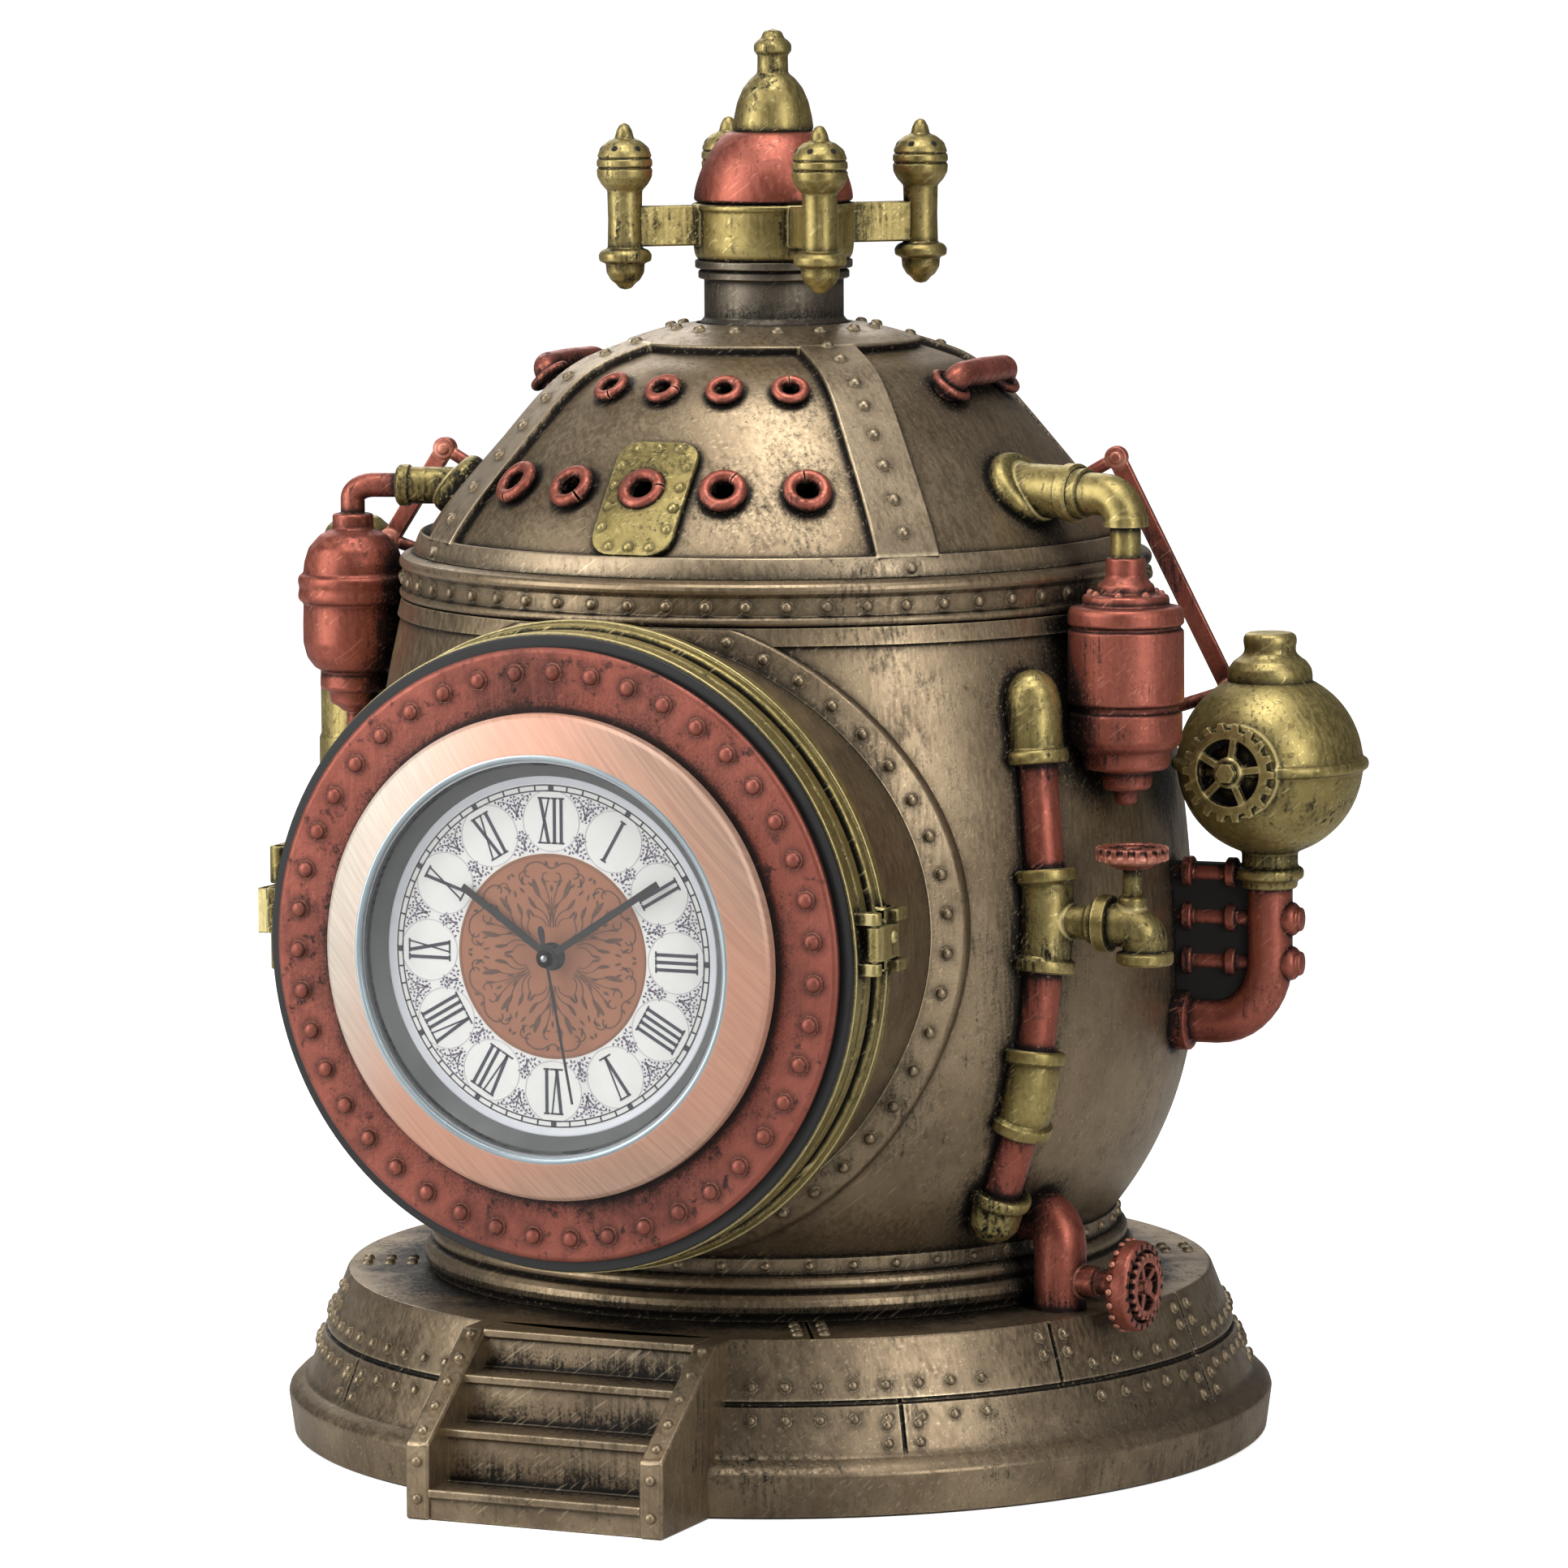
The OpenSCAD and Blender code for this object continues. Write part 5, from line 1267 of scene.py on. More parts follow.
def stay_rods():
    """Two flat tie straps between dome and body, with an eye at each end."""
    wide, thick = STAY_HALF
    outline = [[-wide, -thick], [wide, -thick], [wide, thick], [-wide, thick]]
    shapes = []
    for bearing, top, low in ((GLOBE_B + 8.0, (53.5, 0.0, STAY_TOP_Z), (71.1, 0.0, BODY_TOP - 14.2)),
                              (4.0 - TANK_B, (54.6, 0.0, STAY_TOP_Z), (64.0, 0.0, BODY_TOP + 7.0))):
        top, low = np.array(top), np.array(low)
        strap = prism(outline, 0.0, np.linalg.norm(low - top))
        parts = [strap.at(place(top, low - top, X_AXIS)), rod(low, low - [12.5, 0.0, 4.1], 1.0),
                 rod(top, top - [9.0, 0.0, 5.2], 1.0)]
        for eye in (top, low):
            for half, radius in (([0.0, 1.1, 0.0], 1.8), ([0.0, 1.5, 0.0], 1.0)):
                parts.append(rod(eye - half, eye + half, radius, 0.4))
        shapes.append(joined(parts).at(bearing_place(bearing)))
    piece("stay_rods", joined(shapes), "copper", "case", ["stays"], bevel=0.2)


RISER_HEIGHTS = np.array([BODY_TOP - 15.0, DOOR_Z + 1.9, DOOR_Z - 23.8, FOOT_Z + 6.5])
RISER_LEAN = np.array([0.0, 0.4, 3.2, 4.4])
RISER_ARMS = (6.4, 7.7, 6.4, 3.4)
RISER_OUT = 1.5
TUBE_R = 3.1
TAP_AT = 13.6
TAP_H = 8.4


def socket(length):
    """Profile of a socket with a rounded collar, as far from the fitting's middle as its length."""
    return [[4.2, length - 2.2], [4.7, length - 2.0], [4.95, length - 1.5], [4.95, length - 0.5],
            [4.6, length], [3.2, length], [TUBE_R, length - 1.0], [0.0, length - 1.0]]


def riser():
    """Copper tubes between brass fittings up the body's right front, with a tap at the tee."""
    spots = out_at(RISER_B - RISER_LEAN, body_reach(RISER_HEIGHTS) + RISER_OUT, RISER_HEIGHTS)
    ways = unit(spots[:-1] - spots[1:])
    tubes = joined(rod(spots[i] - ways[i] * (RISER_ARMS[i] - 1.0),
                       spots[i + 1] + ways[i] * (RISER_ARMS[i + 1] - 1.0), TUBE_R) for i in range(3))
    piece("riser_runs", tubes, "copper", "case", ["riser_tubes"])
    crown = [[0.0, -7.8], [1.6, -7.5], [2.9, -6.6], [3.9, -5.0], [4.4, -2.4]] + socket(RISER_ARMS[0])
    end = [[0.0, -4.9], [1.7, -4.6], [3.1, -3.8], [4.1, -2.2]] + socket(RISER_ARMS[3])
    fittings = [lathe(crown, 0.4, 40).at(place(spots[0], -ways[0], X_AXIS)),
                lathe(end, 0.4, 40).at(place(spots[3], ways[2], X_AXIS))]
    for i in (1, 2):
        corners = [spots[i] + ways[i - 1] * RISER_ARMS[i], spots[i], spots[i] - ways[i] * RISER_ARMS[i]]
        sections = [(0.0, 4.5), (0.25, 4.85), (0.6, 4.95), (1.4, 4.95), (1.8, 4.85), (2.2, 4.35), (2.4, 4.2),
                    (-2.4, 4.2), (-2.2, 4.35), (-1.8, 4.85), (-1.4, 4.95), (-0.6, 4.95), (-0.25, 4.85),
                    (-0.01, 4.5)]
        fittings.append(pipe(corners, 3.0, sections, np.cross(ways[i - 1], ways[i]), 40))
    branch = lathe([[0.0, 0.0], [2.6, 0.0], [2.6, 6.6], [3.2, 6.9], [3.2, 8.6], [0.0, 8.6]], 0.2, 32)
    fittings.append(branch.at(place(spots[1], X_AXIS)))
    piece("riser_sockets", joined(fittings), "brass", "case", ["riser_fittings"])
    tee = moved(*spots[1])
    body = pipe([(8.4, 0.0, 0.0), (15.6, 0.0, 0.0), (15.6, 0.0, -5.8)], 3.6,
                [(0.0, 4.3), (1.9, 4.3), (2.1, 3.4), (-2.0, 3.35), (-1.75, 4.1), (-1.55, 4.3), (-0.35, 4.3),
                 (-0.01, 4.0)])
    stem = lathe([[0.0, 0.4], [2.2, 0.4], [2.2, 4.0], [1.5, 4.6], [1.4, TAP_H + 0.3], [0.0, TAP_H + 0.3]],
                 0.2, 24)
    piece("tap_body", (body + stem.at(moved(TAP_AT, 0.0, 0.0))).at(tee), "brass", "case", ["tap"])
    cone = lathe([[0.0, 0.0], [2.4, 0.0], [4.2, 1.0], [5.0, 1.3], [5.2, 1.7], [5.0, 2.2], [3.6, 2.6],
                  [1.6, 2.6], [1.3, 3.4], [0.0, 3.5]], 0.2, 48)
    wheel = (gear_ring(18, 4.75, 5.45, 3.6, 1.3, 3.3) + cone).at(moved(TAP_AT, 0.0, TAP_H)).at(tee)
    piece("tap_handwheel", wheel, "copper", "case", ["tap_wheel"])


GEAR_TURN = math.radians(-9.0)
GLOBE_NECK_Z = GLOBE_Z - 19.2
BEND_Z = GLOBE_Z - 40.0
WEB_TOP = GLOBE_Z - 15.6
WEB_ROOT = BODY_R - IN_WALL
SPOOL_HEIGHTS = GLOBE_NECK_Z + np.array([2.1, -4.7, -11.5])


def globe_pieces():
    """Brass globe with belt, cap and gear, and the copper pipe with its web and spools below."""
    out = bearing_place(GLOBE_B)
    here = (out[0], out_at(GLOBE_B, GLOBE_AT, GLOBE_Z))
    turn = np.radians(np.linspace(-84.0, 84.0, 34))
    ball = np.stack([GLOBE_R * np.cos(turn), GLOBE_R * np.sin(turn)], axis=-1)
    low, high = ball[turn < -0.07], ball[turn > 0.07]
    belt = [[14.25, -0.95], [14.95, -0.7], [15.1, 0.0], [14.95, 0.7], [14.25, 0.95]]
    neck = [[0.0, -19.2], [4.2, -19.2], [4.3, -18.0], [5.2, -17.6], [5.2, -16.2], [4.3, -15.8], [4.3, -13.6]]
    line = np.vstack([neck, low[low[:, 0] > 4.6], belt, high, [[0.0, GLOBE_R]]])
    mouth = lathe([[5.1, 11.0], [6.9, 11.0], [6.9, 14.2], [6.6, 14.5], [5.4, 14.5], [5.1, 14.2]],
                  0.2, 48, closed=True)
    cos, sin = math.cos(GEAR_TURN), math.sin(GEAR_TURN)
    face = place(ORIGIN, (sin, -cos, 0.0), (cos, sin, 0.0))
    piece("globe_ball", (lathe(line, 0.4, 72) + mouth.at(face)).at(here), "brass", "case", ["globe"])
    # A near black disc behind the gear: painted shade in its well.
    dark = lathe([[0.0, 12.9], [5.3, 12.9], [5.3, 13.5], [0.0, 13.5]], 0.1, 40).at(face).at(here)
    piece("globe_gear_well", dark, "shade_black", "case")
    cap = [[0.0, 10.0], [6.5, 10.0], [6.5, 13.6], [6.3, 14.6], [5.6, 15.6], [4.6, 16.3], [4.0, 16.9],
           [3.9, 17.6], [4.1, 18.6], [4.0, 19.5], [3.4, 20.0], [0.0, 20.0]]
    piece("globe_top", lathe(cap, 0.3, 48).at(here), "brass", "case", ["globe_cap"])
    boss = lathe([[0.0, 14.2], [2.4, 14.2], [2.4, 15.5], [2.0, 15.8], [0.0, 15.8]], 0.15, 32)
    nut = prism(circle(1.6, 6), 15.7, 16.6)
    spoke = prism([[-0.55, 1.8], [0.55, 1.8], [0.55, 5.4], [-0.55, 5.4]], 14.4, 15.4)
    spokes = joined(turned_flat(spoke, angle) for angle in np.arange(0.0, 360.0, 72.0) + 10.0)
    wheel = gear_ring(18, 6.5, 7.6, 5.1, 14.4, 15.6) + boss + nut + spokes
    piece("globe_wheel", wheel.at(face).at(here), "brass", "case", ["globe_gear"], bevel=0.12)
    bend = pipe([(GLOBE_AT, 0.0, GLOBE_Z - 19.0), (GLOBE_AT, 0.0, BEND_Z), (WEB_ROOT, 0.0, BEND_Z)], 11.0,
                [(0.0, 3.5), (-6.0, 3.5), (-5.7, 4.5), (-5.4, 4.75), (-2.8, 4.75), (-2.4, 4.6), (-0.01, 4.6)])
    piece("globe_bend", bend.at(out), "copper", "case", ["globe_pipe"])
    web = prism([[WEB_ROOT, BEND_Z], [GLOBE_AT - 7.2, BEND_Z], [GLOBE_AT, BEND_Z + 8.4], [GLOBE_AT, WEB_TOP],
                 [WEB_ROOT, WEB_TOP]], -1.0, 1.0)
    upright = (np.stack([out[0][0], out[0][2], -out[0][1]]), np.zeros(3))
    # The web between body, pipe and globe is near black: painted shade in that corner.
    piece("globe_web", web.at(upright), "shade_black", "case", ["globe_bolts"])
    spool = lathe([[0.0, BODY_R - 3.0], [1.5, BODY_R - 3.0], [1.5, BODY_R + 0.8], [2.4, BODY_R + 1.0],
                   [2.4, BODY_R + 2.4], [1.5, BODY_R + 2.7], [1.5, GLOBE_AT - 6.9], [2.4, GLOBE_AT - 6.6],
                   [2.4, GLOBE_AT - 5.2], [1.6, GLOBE_AT - 4.9], [1.6, GLOBE_AT - 2.0],
                   [0.0, GLOBE_AT - 2.0]], 0.25, 24)
    head = lathe([[0.0, GLOBE_AT + 2.0], [2.6, GLOBE_AT + 2.0], [2.7, GLOBE_AT + 3.4], [2.4, GLOBE_AT + 4.2],
                  [1.9, GLOBE_AT + 4.5], [1.8, GLOBE_AT + 5.2], [0.0, GLOBE_AT + 5.4]], 0.3, 24)
    shapes = [shape.at(place((0.0, 0.0, height), X_AXIS)) for height in SPOOL_HEIGHTS
              for shape in ((spool, head) if height < GLOBE_NECK_Z else (spool,))]
    piece("globe_spools", joined(shapes).at(out), "copper", "case")


def drain():
    """Drain elbow at the foot, and its wheel with a pierced rim, an inner gear and five spokes."""
    elbow = pipe([(FOOT_R + 0.5, 0.0, DRAIN_Z), (DRAIN_AT, 0.0, DRAIN_Z), (DRAIN_AT, 0.0, BASE_H - 0.3)], 4.6,
                 [(0.0, 4.0), (60.0, 4.0)]).at(bearing_place(DRAIN_B))
    axis = out_at(DRAIN_B + 18.0, 1.0, 0.0)
    leg = out_at(DRAIN_B, DRAIN_AT, WHEEL_Z)
    shaft = rod(leg, leg + axis * 10.6, 1.8) + rod(leg + axis * 3.0, leg + axis * 6.4, 2.5, 0.5)
    piece("drain_bend", elbow + shaft, "copper", "case", ["drain_elbow"])
    spot = place(leg + axis * 10.3, axis)
    rim_line = [[0.0, 0.0], [5.8, 0.0], [6.5, 0.6], [6.85, 1.4], [6.85, 3.2], [6.5, 3.8], [5.55, 3.8],
                [5.4, 2.7], [0.0, 2.6]]
    boss = lathe([[0.0, 2.4], [1.25, 2.4], [1.25, 4.4], [0.9, 4.7], [0.0, 4.7]], 0.15, 24)
    spoke = prism([[0.9, -0.4], [4.0, -0.4], [4.0, 0.4], [0.9, 0.4]], 2.7, 4.0)
    spokes = joined(turned_flat(spoke, -angle) for angle in np.arange(0.0, 360.0, 72.0) + 18.0)
    around = np.arange(0.0, 360.0, 18.0)
    knobs = rivets(out_at(around, 6.85, 1.0), out_at(around, 1.0, 0.0), 0.55, 0.3, 8)
    wheel = lathe(rim_line, 0.2, 60) + gear_ring(20, 4.45, 5.05, 3.6, 2.5, 4.4) + boss + spokes + knobs
    piece("drain_handwheel", wheel.at(spot), "copper", "case", ["drain_wheel"], bevel=0.08)
    # The rim's piercings as near black dots and the well behind the gear as a disc: painted shade, not open
    # holes.
    pits = rivets(out_at(around + 9.0, 6.1, 3.74), Z_AXIS, 0.48, 0.12, 8)
    well = lathe([[0.0, 2.55], [3.65, 2.55], [3.65, 2.72], [0.0, 2.72]], 0.05, 32)
    piece("drain_wheel_holes", (pits + well).at(spot), "shade_black", "case")


# Door and clock

DOOR_RIVETS = 43
DOOR_RIVET_R = 41.9


def door():
    """Brass ring, black edge, riveted copper plate and bezel of the door."""
    rim_line = [[40.4, 73.0], [46.8, 73.0], [47.4, 73.5], [47.4, 75.4], [47.05, 75.7], [47.05, 76.2],
                [47.4, 76.5], [47.4, 78.5], [47.1, RING_F], [40.4, RING_F]]
    piece("door_rim", lathe(rim_line, 0.2, 160, closed=True).at(FACE), "brass", "door", ["door_ring"])
    edge = ring(47.2, HOLE_R, RING_F, EDGE_F, 0.25, 160).at(FACE)
    piece("door_black_edge", edge, "black_edge", "door", ["door_edge"])
    turn = np.linspace(0.0, FULL, DOOR_RIVETS, endpoint=False) + math.radians(0.6)
    spots = [DOOR_RIVET_R * np.sin(turn), DOOR_RIVET_R * np.cos(turn), np.full(DOOR_RIVETS, DOOR_FRONT)]
    heads = rivets(np.stack(spots, axis=-1), Z_AXIS, *DOOR_RIVET, 14)
    plate = lathe([[HOLE_R, EDGE_F], [45.2, EDGE_F], [45.5, 80.3], [45.5, 81.2], [44.9, DOOR_FRONT],
                   [HOLE_R, DOOR_FRONT]], 0.25, 160, closed=True)
    piece("door_face", (plate + heads).at(FACE), "copper_plate", "door", ["door_plate"])
    # A thin bright ring on the door ring's front edge: rubbed wear and a painted highlight.
    worn = ring(47.5, 46.9, 78.5, RING_F + 0.02, 0.2, 160).at(FACE)
    piece("door_worn_highlight_edge", worn, "brass_worn_highlight", "door")
    line = [[30.0, DOOR_FRONT], [35.7, DOOR_FRONT], [36.0, 82.0], [36.0, 83.8], [35.4, 84.4], [30.3, 86.2],
            [29.9, 86.2], [29.9, 85.6]]
    piece("clock_bezel", lathe(line, 0.2, 160, closed=True).at(FACE), "bezel", "door", ["bezel"])
    lip = [[29.25, 85.5], [30.25, 85.5], [30.3, 86.15], [29.9, 86.3], [29.4, 86.2]]
    piece("bezel_lip", lathe(lip, 0.15, 160, closed=True).at(FACE), "lip", "door")


KNUCKLE_R = 1.5
CASE_KNUCKLE_UP = 6.5
CASE_KNUCKLE_HALF = 2.8
DOOR_KNUCKLE_HALF = 3.4


def hinge():
    """Brass hinge at the door's left edge: two knuckles on the case, one on the door between them."""
    x, y = HINGE_X, -HINGE_F
    outer = x - KNUCKLE_R
    fixed = []
    for middle in (CATCH_Z - CASE_KNUCKLE_UP, CATCH_Z + CASE_KNUCKLE_UP):
        low, high = middle - CASE_KNUCKLE_HALF, middle + CASE_KNUCKLE_HALF
        fixed.append(rod((x, y, low), (x, y, high), KNUCKLE_R))
        fixed.append(block((outer, y, low), (x + 3.4, y + 4.6, high)))
    end = CASE_KNUCKLE_UP + CASE_KNUCKLE_HALF
    fixed.append(block((x + 1.0, y + 1.8, CATCH_Z - end), (x + 3.4, y + 3.9, CATCH_Z + end)))
    piece("hinge_case_leaf", joined(fixed), "brass", "case", ["hinge_leaf_body"],
          bevel=0.15)
    low, high = CATCH_Z - DOOR_KNUCKLE_HALF, CATCH_Z + DOOR_KNUCKLE_HALF
    moving = (rod((x, y, low), (x, y, high), KNUCKLE_R) + block((outer, y - 4.4, low), (x, y, high))
              + block((outer, y - 4.4, low), (x + 4.2, y - 2.3, high)))
    piece("hinge_door_leaf", moving, "brass", "door", ["hinge_leaf_door"], bevel=0.15)


LUG_LOWS = (CATCH_Z - 4.6, CATCH_Z + 2.8)
LUG_H = 1.8
LUG_R = 1.1
LATCH_HALF = 2.5
KEEPER_BACK = -68.4
KEEPER_FRONT = -72.0
KEEPER_X = 47.4


def latch():
    """Small brass latch: lugs and pin on the door, a leaf with a screw, and a hooked keeper on the case."""
    x, y = LATCH_X, -LATCH_F
    lugs = [rod((x, y, CATCH_Z - 3.4), (x, y, CATCH_Z + 3.4), 0.5)]
    for low in LUG_LOWS:
        lugs.append(rod((x, y, low), (x, y, low + LUG_H), LUG_R))
        lugs.append(block((46.6, y - LUG_R, low), (x, y + LUG_R, low + LUG_H)))
    piece("latch_lugs", joined(lugs), "brass", "door", ["latch_hinge"], bevel=0.15)
    low, high = CATCH_Z - LATCH_HALF, CATCH_Z + LATCH_HALF
    leaf_plate = rod((x, y, low), (x, y, high), LUG_R) + block((x + 0.1, y, low), (x + 1.1, y + 6.6, high))
    screw = rivets([(x + 1.05, y + 4.6, CATCH_Z + 0.6)], X_AXIS, 0.95, 0.5, 14)
    piece("latch_plate", leaf_plate + screw, "brass", "latch", ["latch_leaf"], bevel=0.15)
    cheeks = [block((KEEPER_X, KEEPER_FRONT, CATCH_Z - 4.6), (x - 0.3, KEEPER_BACK, CATCH_Z + 4.6))]
    for low in LUG_LOWS:
        cheeks.append(block((KEEPER_X, KEEPER_FRONT, low), (x + 1.6, KEEPER_BACK, low + LUG_H)))
    piece("latch_hook", joined(cheeks), "brass", "case", ["latch_keeper"], bevel=0.3)


PRINT_LOW = DIAL_F - 0.03
PRINT_HIGH = DIAL_F + 0.05
SECOND_PRINT = 0.06
LETTER_WIDTHS = {"I": 0.98, "V": 2.05, "X": 2.05}
LETTER_GAP = 0.12
THICK = 0.5
THIN = 0.24
BAR = 0.26
NUMERALS = ("XII", "I", "II", "III", "IIII", "V", "VI", "VII", "VIII", "IX", "X", "XI")
NUMERAL_HALF = 3.3
CARTOUCHE_AT = 20.05
CARTOUCHE_R = 4.55
MEDALLION_R = 15.2


def pen(line, width, lift=0.0):
    """A stroke of print on the dial."""
    return stroke(line, width, PRINT_LOW + lift, PRINT_HIGH + lift)


def numeral(text):
    """Upright Roman numeral of thick and thin strokes with bars at head and foot, centred on the origin."""
    widths = [LETTER_WIDTHS[letter] for letter in text]
    left = -(sum(widths) + LETTER_GAP * (len(text) - 1)) / 2.0
    top, foot_z = NUMERAL_HALF, -NUMERAL_HALF
    shapes = []
    for letter, width in zip(text, widths):
        middle, right = left + width / 2.0, left + width
        if letter == "I":
            shapes.append(pen([(middle, foot_z), (middle, top)], THICK))
        elif letter == "V":
            shapes.append(pen([(left + 0.35, top), (middle, foot_z)], THICK))
            shapes.append(pen([(right - 0.25, top), (middle, foot_z)], THIN))
        else:
            shapes.append(pen([(left + 0.35, top), (right - 0.35, foot_z)], THICK))
            shapes.append(pen([(right - 0.3, top), (left + 0.3, foot_z)], THIN))
        shapes.append(pen([(left, top), (right, top)], BAR))
        shapes.append(pen([(left, foot_z), (right, foot_z)], BAR))
        left = right + LETTER_GAP
    return joined(shapes)


def minute_track():
    """Two fine circles with a tick for each minute between them and a block for each five."""
    shapes = [ring(outer, outer - 0.2, PRINT_LOW, PRINT_HIGH, 0.01, 120) for outer in (25.4, 24.55)]
    for minute in range(60):
        tick = pen([(0.0, 24.4), (0.0, 25.35)], 0.85 if minute % 5 == 0 else THIN)
        shapes.append(turned_flat(tick, minute * 6.0))
    return joined(shapes)


LEAF_APART = 0.5
LACE_CLEAR = CARTOUCHE_R + 0.22
TRIES = 60


def lace(low, high, half, count, seed):
    """Scattered leaves between two cartouches, the same on both sides of the line between the hours."""
    rng = np.random.default_rng(seed)
    tries = rng.uniform([0.1, low], [half, high], (count * TRIES, 2))
    beside = CARTOUCHE_AT * np.array([math.sin(FULL / 24.0), math.cos(FULL / 24.0)])
    reach = np.linalg.norm(tries, axis=1)
    clear = (np.linalg.norm(tries - beside, axis=1) > LACE_CLEAR) & (reach < high) & (reach > low)
    chosen = []
    for spot in tries[clear]:
        if len(chosen) < count and all(np.linalg.norm(spot - other) > LEAF_APART for other in chosen):
            chosen.append(spot)
    turns = rng.uniform(0.0, FULL, len(chosen))
    sizes = rng.uniform(0.3, 0.62, len(chosen))
    shapes = []
    for spot, turn, size in zip(chosen, turns, sizes):
        way = np.array([math.cos(turn), math.sin(turn)]) * size / 2.0
        for mirror in (np.array([1.0, 1.0]), np.array([-1.0, 1.0])):
            start, end = (spot - way) * mirror, (spot + way) * mirror
            shapes.append(leaf(start, end, 0.3, PRINT_LOW, PRINT_HIGH, 0.15, 4))
    return joined(shapes)


def sprig(low, high, spread):
    """A stem between two cartouches with a pair of curling side stems."""
    shapes = [pen(curve([(0.0, low), (0.12, (low + high) / 2.0), (0.0, high)], 6), 0.14)]
    for side in (-1.0, 1.0):
        bend = [(0.0, low + 0.2), (side * spread * 0.3, high), (side * spread, high - 0.1)]
        shapes.append(pen(curve(bend, 8), 0.13))
    return joined(shapes)


FINE = 0.82


def blade(first, last, width, bow=0.0):
    """A lance leaf of the dial's second print."""
    return leaf(first, last, width, PRINT_LOW + SECOND_PRINT, PRINT_HIGH + SECOND_PRINT, bow)


def tendril(spots, width):
    """A curved pen line of the dial's second print."""
    return pen(curve(spots, 9), width * FINE, SECOND_PRINT)


def half_palmette(side):
    """What lies to one side of a palmette's middle line, from angles off that line and distances."""

    def at(degrees, reach):
        """A spot at an angle from the middle line and a distance from the centre."""
        turn = math.radians(side * degrees)
        return (reach * math.sin(turn), reach * math.cos(turn))

    def line(*spots, width=0.17):
        """A curved stem through the reach of its spots."""
        return tendril([at(*spot) for spot in spots], width)

    def lance(first, last, width, bow=0.0):
        """A leaf between two spots, bowed toward the side."""
        return blade(at(*first), at(*last), width, bow * side)

    return joined([
        line((3.0, 4.3), (1.0, 7.2), (13.0, 9.2)),
        lance((12.6, 8.9), (14.8, 11.8), 0.78, -0.06),
        line((7.0, 4.4), (4.0, 6.4), (20.0, 7.6)),
        lance((19.6, 7.4), (23.5, 9.4), 0.55, -0.08),
        line((12.0, 4.5), (10.0, 5.8), (27.0, 6.6), width=0.14),
        lance((26.0, 6.4), (29.0, 7.8), 0.4),
        line((1.4, 5.2), (1.2, 8.4), (5.6, 10.4), width=0.14),
        lance((5.2, 10.2), (8.6, 11.6), 0.36, 0.12),
        lance((2.6, 7.0), (6.4, 8.0), 0.34, -0.1),
        line((2.0, 11.2), (8.0, 10.6), (9.0, 12.6), (3.5, 12.4), width=0.2),
        line((0.2, 13.0), (5.0, 13.4), (7.0, 14.6), (15.0, 14.0), width=0.24),
        line((15.0, 14.0), (21.0, 13.7), (21.0, 12.2), (17.0, 12.2), width=0.24),
        line((17.5, 13.0), (25.0, 13.8), (27.0, 12.2), (22.0, 11.2), width=0.2),
        lance((22.0, 12.6), (25.0, 11.4), 0.36),
        lance((25.6, 10.2), (27.4, 11.2), 0.34),
        lance((2.6, 13.5), (4.2, 14.1), 0.42),
        lance((27.6, 13.0), (29.2, 13.6), 0.42),
        lance((16.6, 10.6), (19.6, 11.4), 0.34, 0.15),
    ])


def palmette():
    """One sixth of the middle's print: stems fanning out of the centre, lance leaves, curls and an arch."""
    middle = blade((0.0, 9.6), (0.0, 10.5), 0.4) + tendril([(0.0, 6.0), (0.0, 7.4), (0.0, 8.8)], 0.14)
    return middle + half_palmette(-1.0) + half_palmette(1.0)


MEDALLION_HOLE = 2.1


def dial_print():
    """White rim, track, cartouches, numerals and lace of the dial, and its brown middle with palmettes."""
    rim_line = [[25.55, DIAL_F - 0.05], [26.75, DIAL_F - 0.05], [26.75, DIAL_F + 0.3], [26.45, DIAL_F + 0.34],
                [25.6, DIAL_F + 0.06]]
    piece("dial_rim", lathe(rim_line, 0.06, 128, closed=True).at(FACE), "lip_white", "door")
    shapes = [minute_track()]
    for hour, text in enumerate(NUMERALS):
        shapes.append(turned_flat(numeral(text), hour * 30.0, CARTOUCHE_AT))
    piece("dial_numerals", joined(shapes).at(FACE), "print_black", "door")
    loop = ring(CARTOUCHE_R + 0.06, CARTOUCHE_R - 0.06, PRINT_LOW, PRINT_HIGH, 0.01, 64)
    loops = joined(turned_flat(loop, hour * 30.0, CARTOUCHE_AT) for hour in range(12))
    piece("dial_cartouches", loops.at(FACE), "print_grey", "door")
    filled = joined([lace(20.6, 24.1, 3.6, 34, 5), lace(15.6, 18.9, 2.2, 15, 8), sprig(21.0, 23.9, 2.6),
                     sprig(16.2, 18.2, 1.1)])
    filled = joined(turned_flat(filled, hour * 30.0 + 15.0) for hour in range(12))
    piece("dial_lace", filled.at(FACE), "print_violet", "door")
    disc = ring(MEDALLION_R, MEDALLION_HOLE, PRINT_LOW, PRINT_HIGH, 0.02, 128)
    piece("dial_medallion", disc.at(FACE), "medallion", "door")
    fans = joined(turned_flat(palmette(), turn) for turn in np.arange(0.0, 360.0, 60.0))
    piece("dial_palmettes", fans.at(FACE), "print_brown", "door")
    border = ring(MEDALLION_R - 0.12, MEDALLION_R - 0.42, PRINT_LOW + SECOND_PRINT, PRINT_HIGH + SECOND_PRINT,
                  0.01, 128)
    piece("dial_medallion_edge", border.at(FACE), "medallion_edge", "door")


ARBOR_BACK = DIAL_F - 8.0
HOUR_F = DIAL_F + 0.7
MINUTE_F = DIAL_F + 1.4
SECOND_F = DIAL_F + 2.1
HAND_W = 1.05
HAND_T = 0.4


def baton(length, front):
    """A straight blunt hand of even width."""
    half = HAND_W / 2
    return prism([[-half, 0.0], [half, 0.0], [half, length], [-half, length]], front, front + HAND_T)


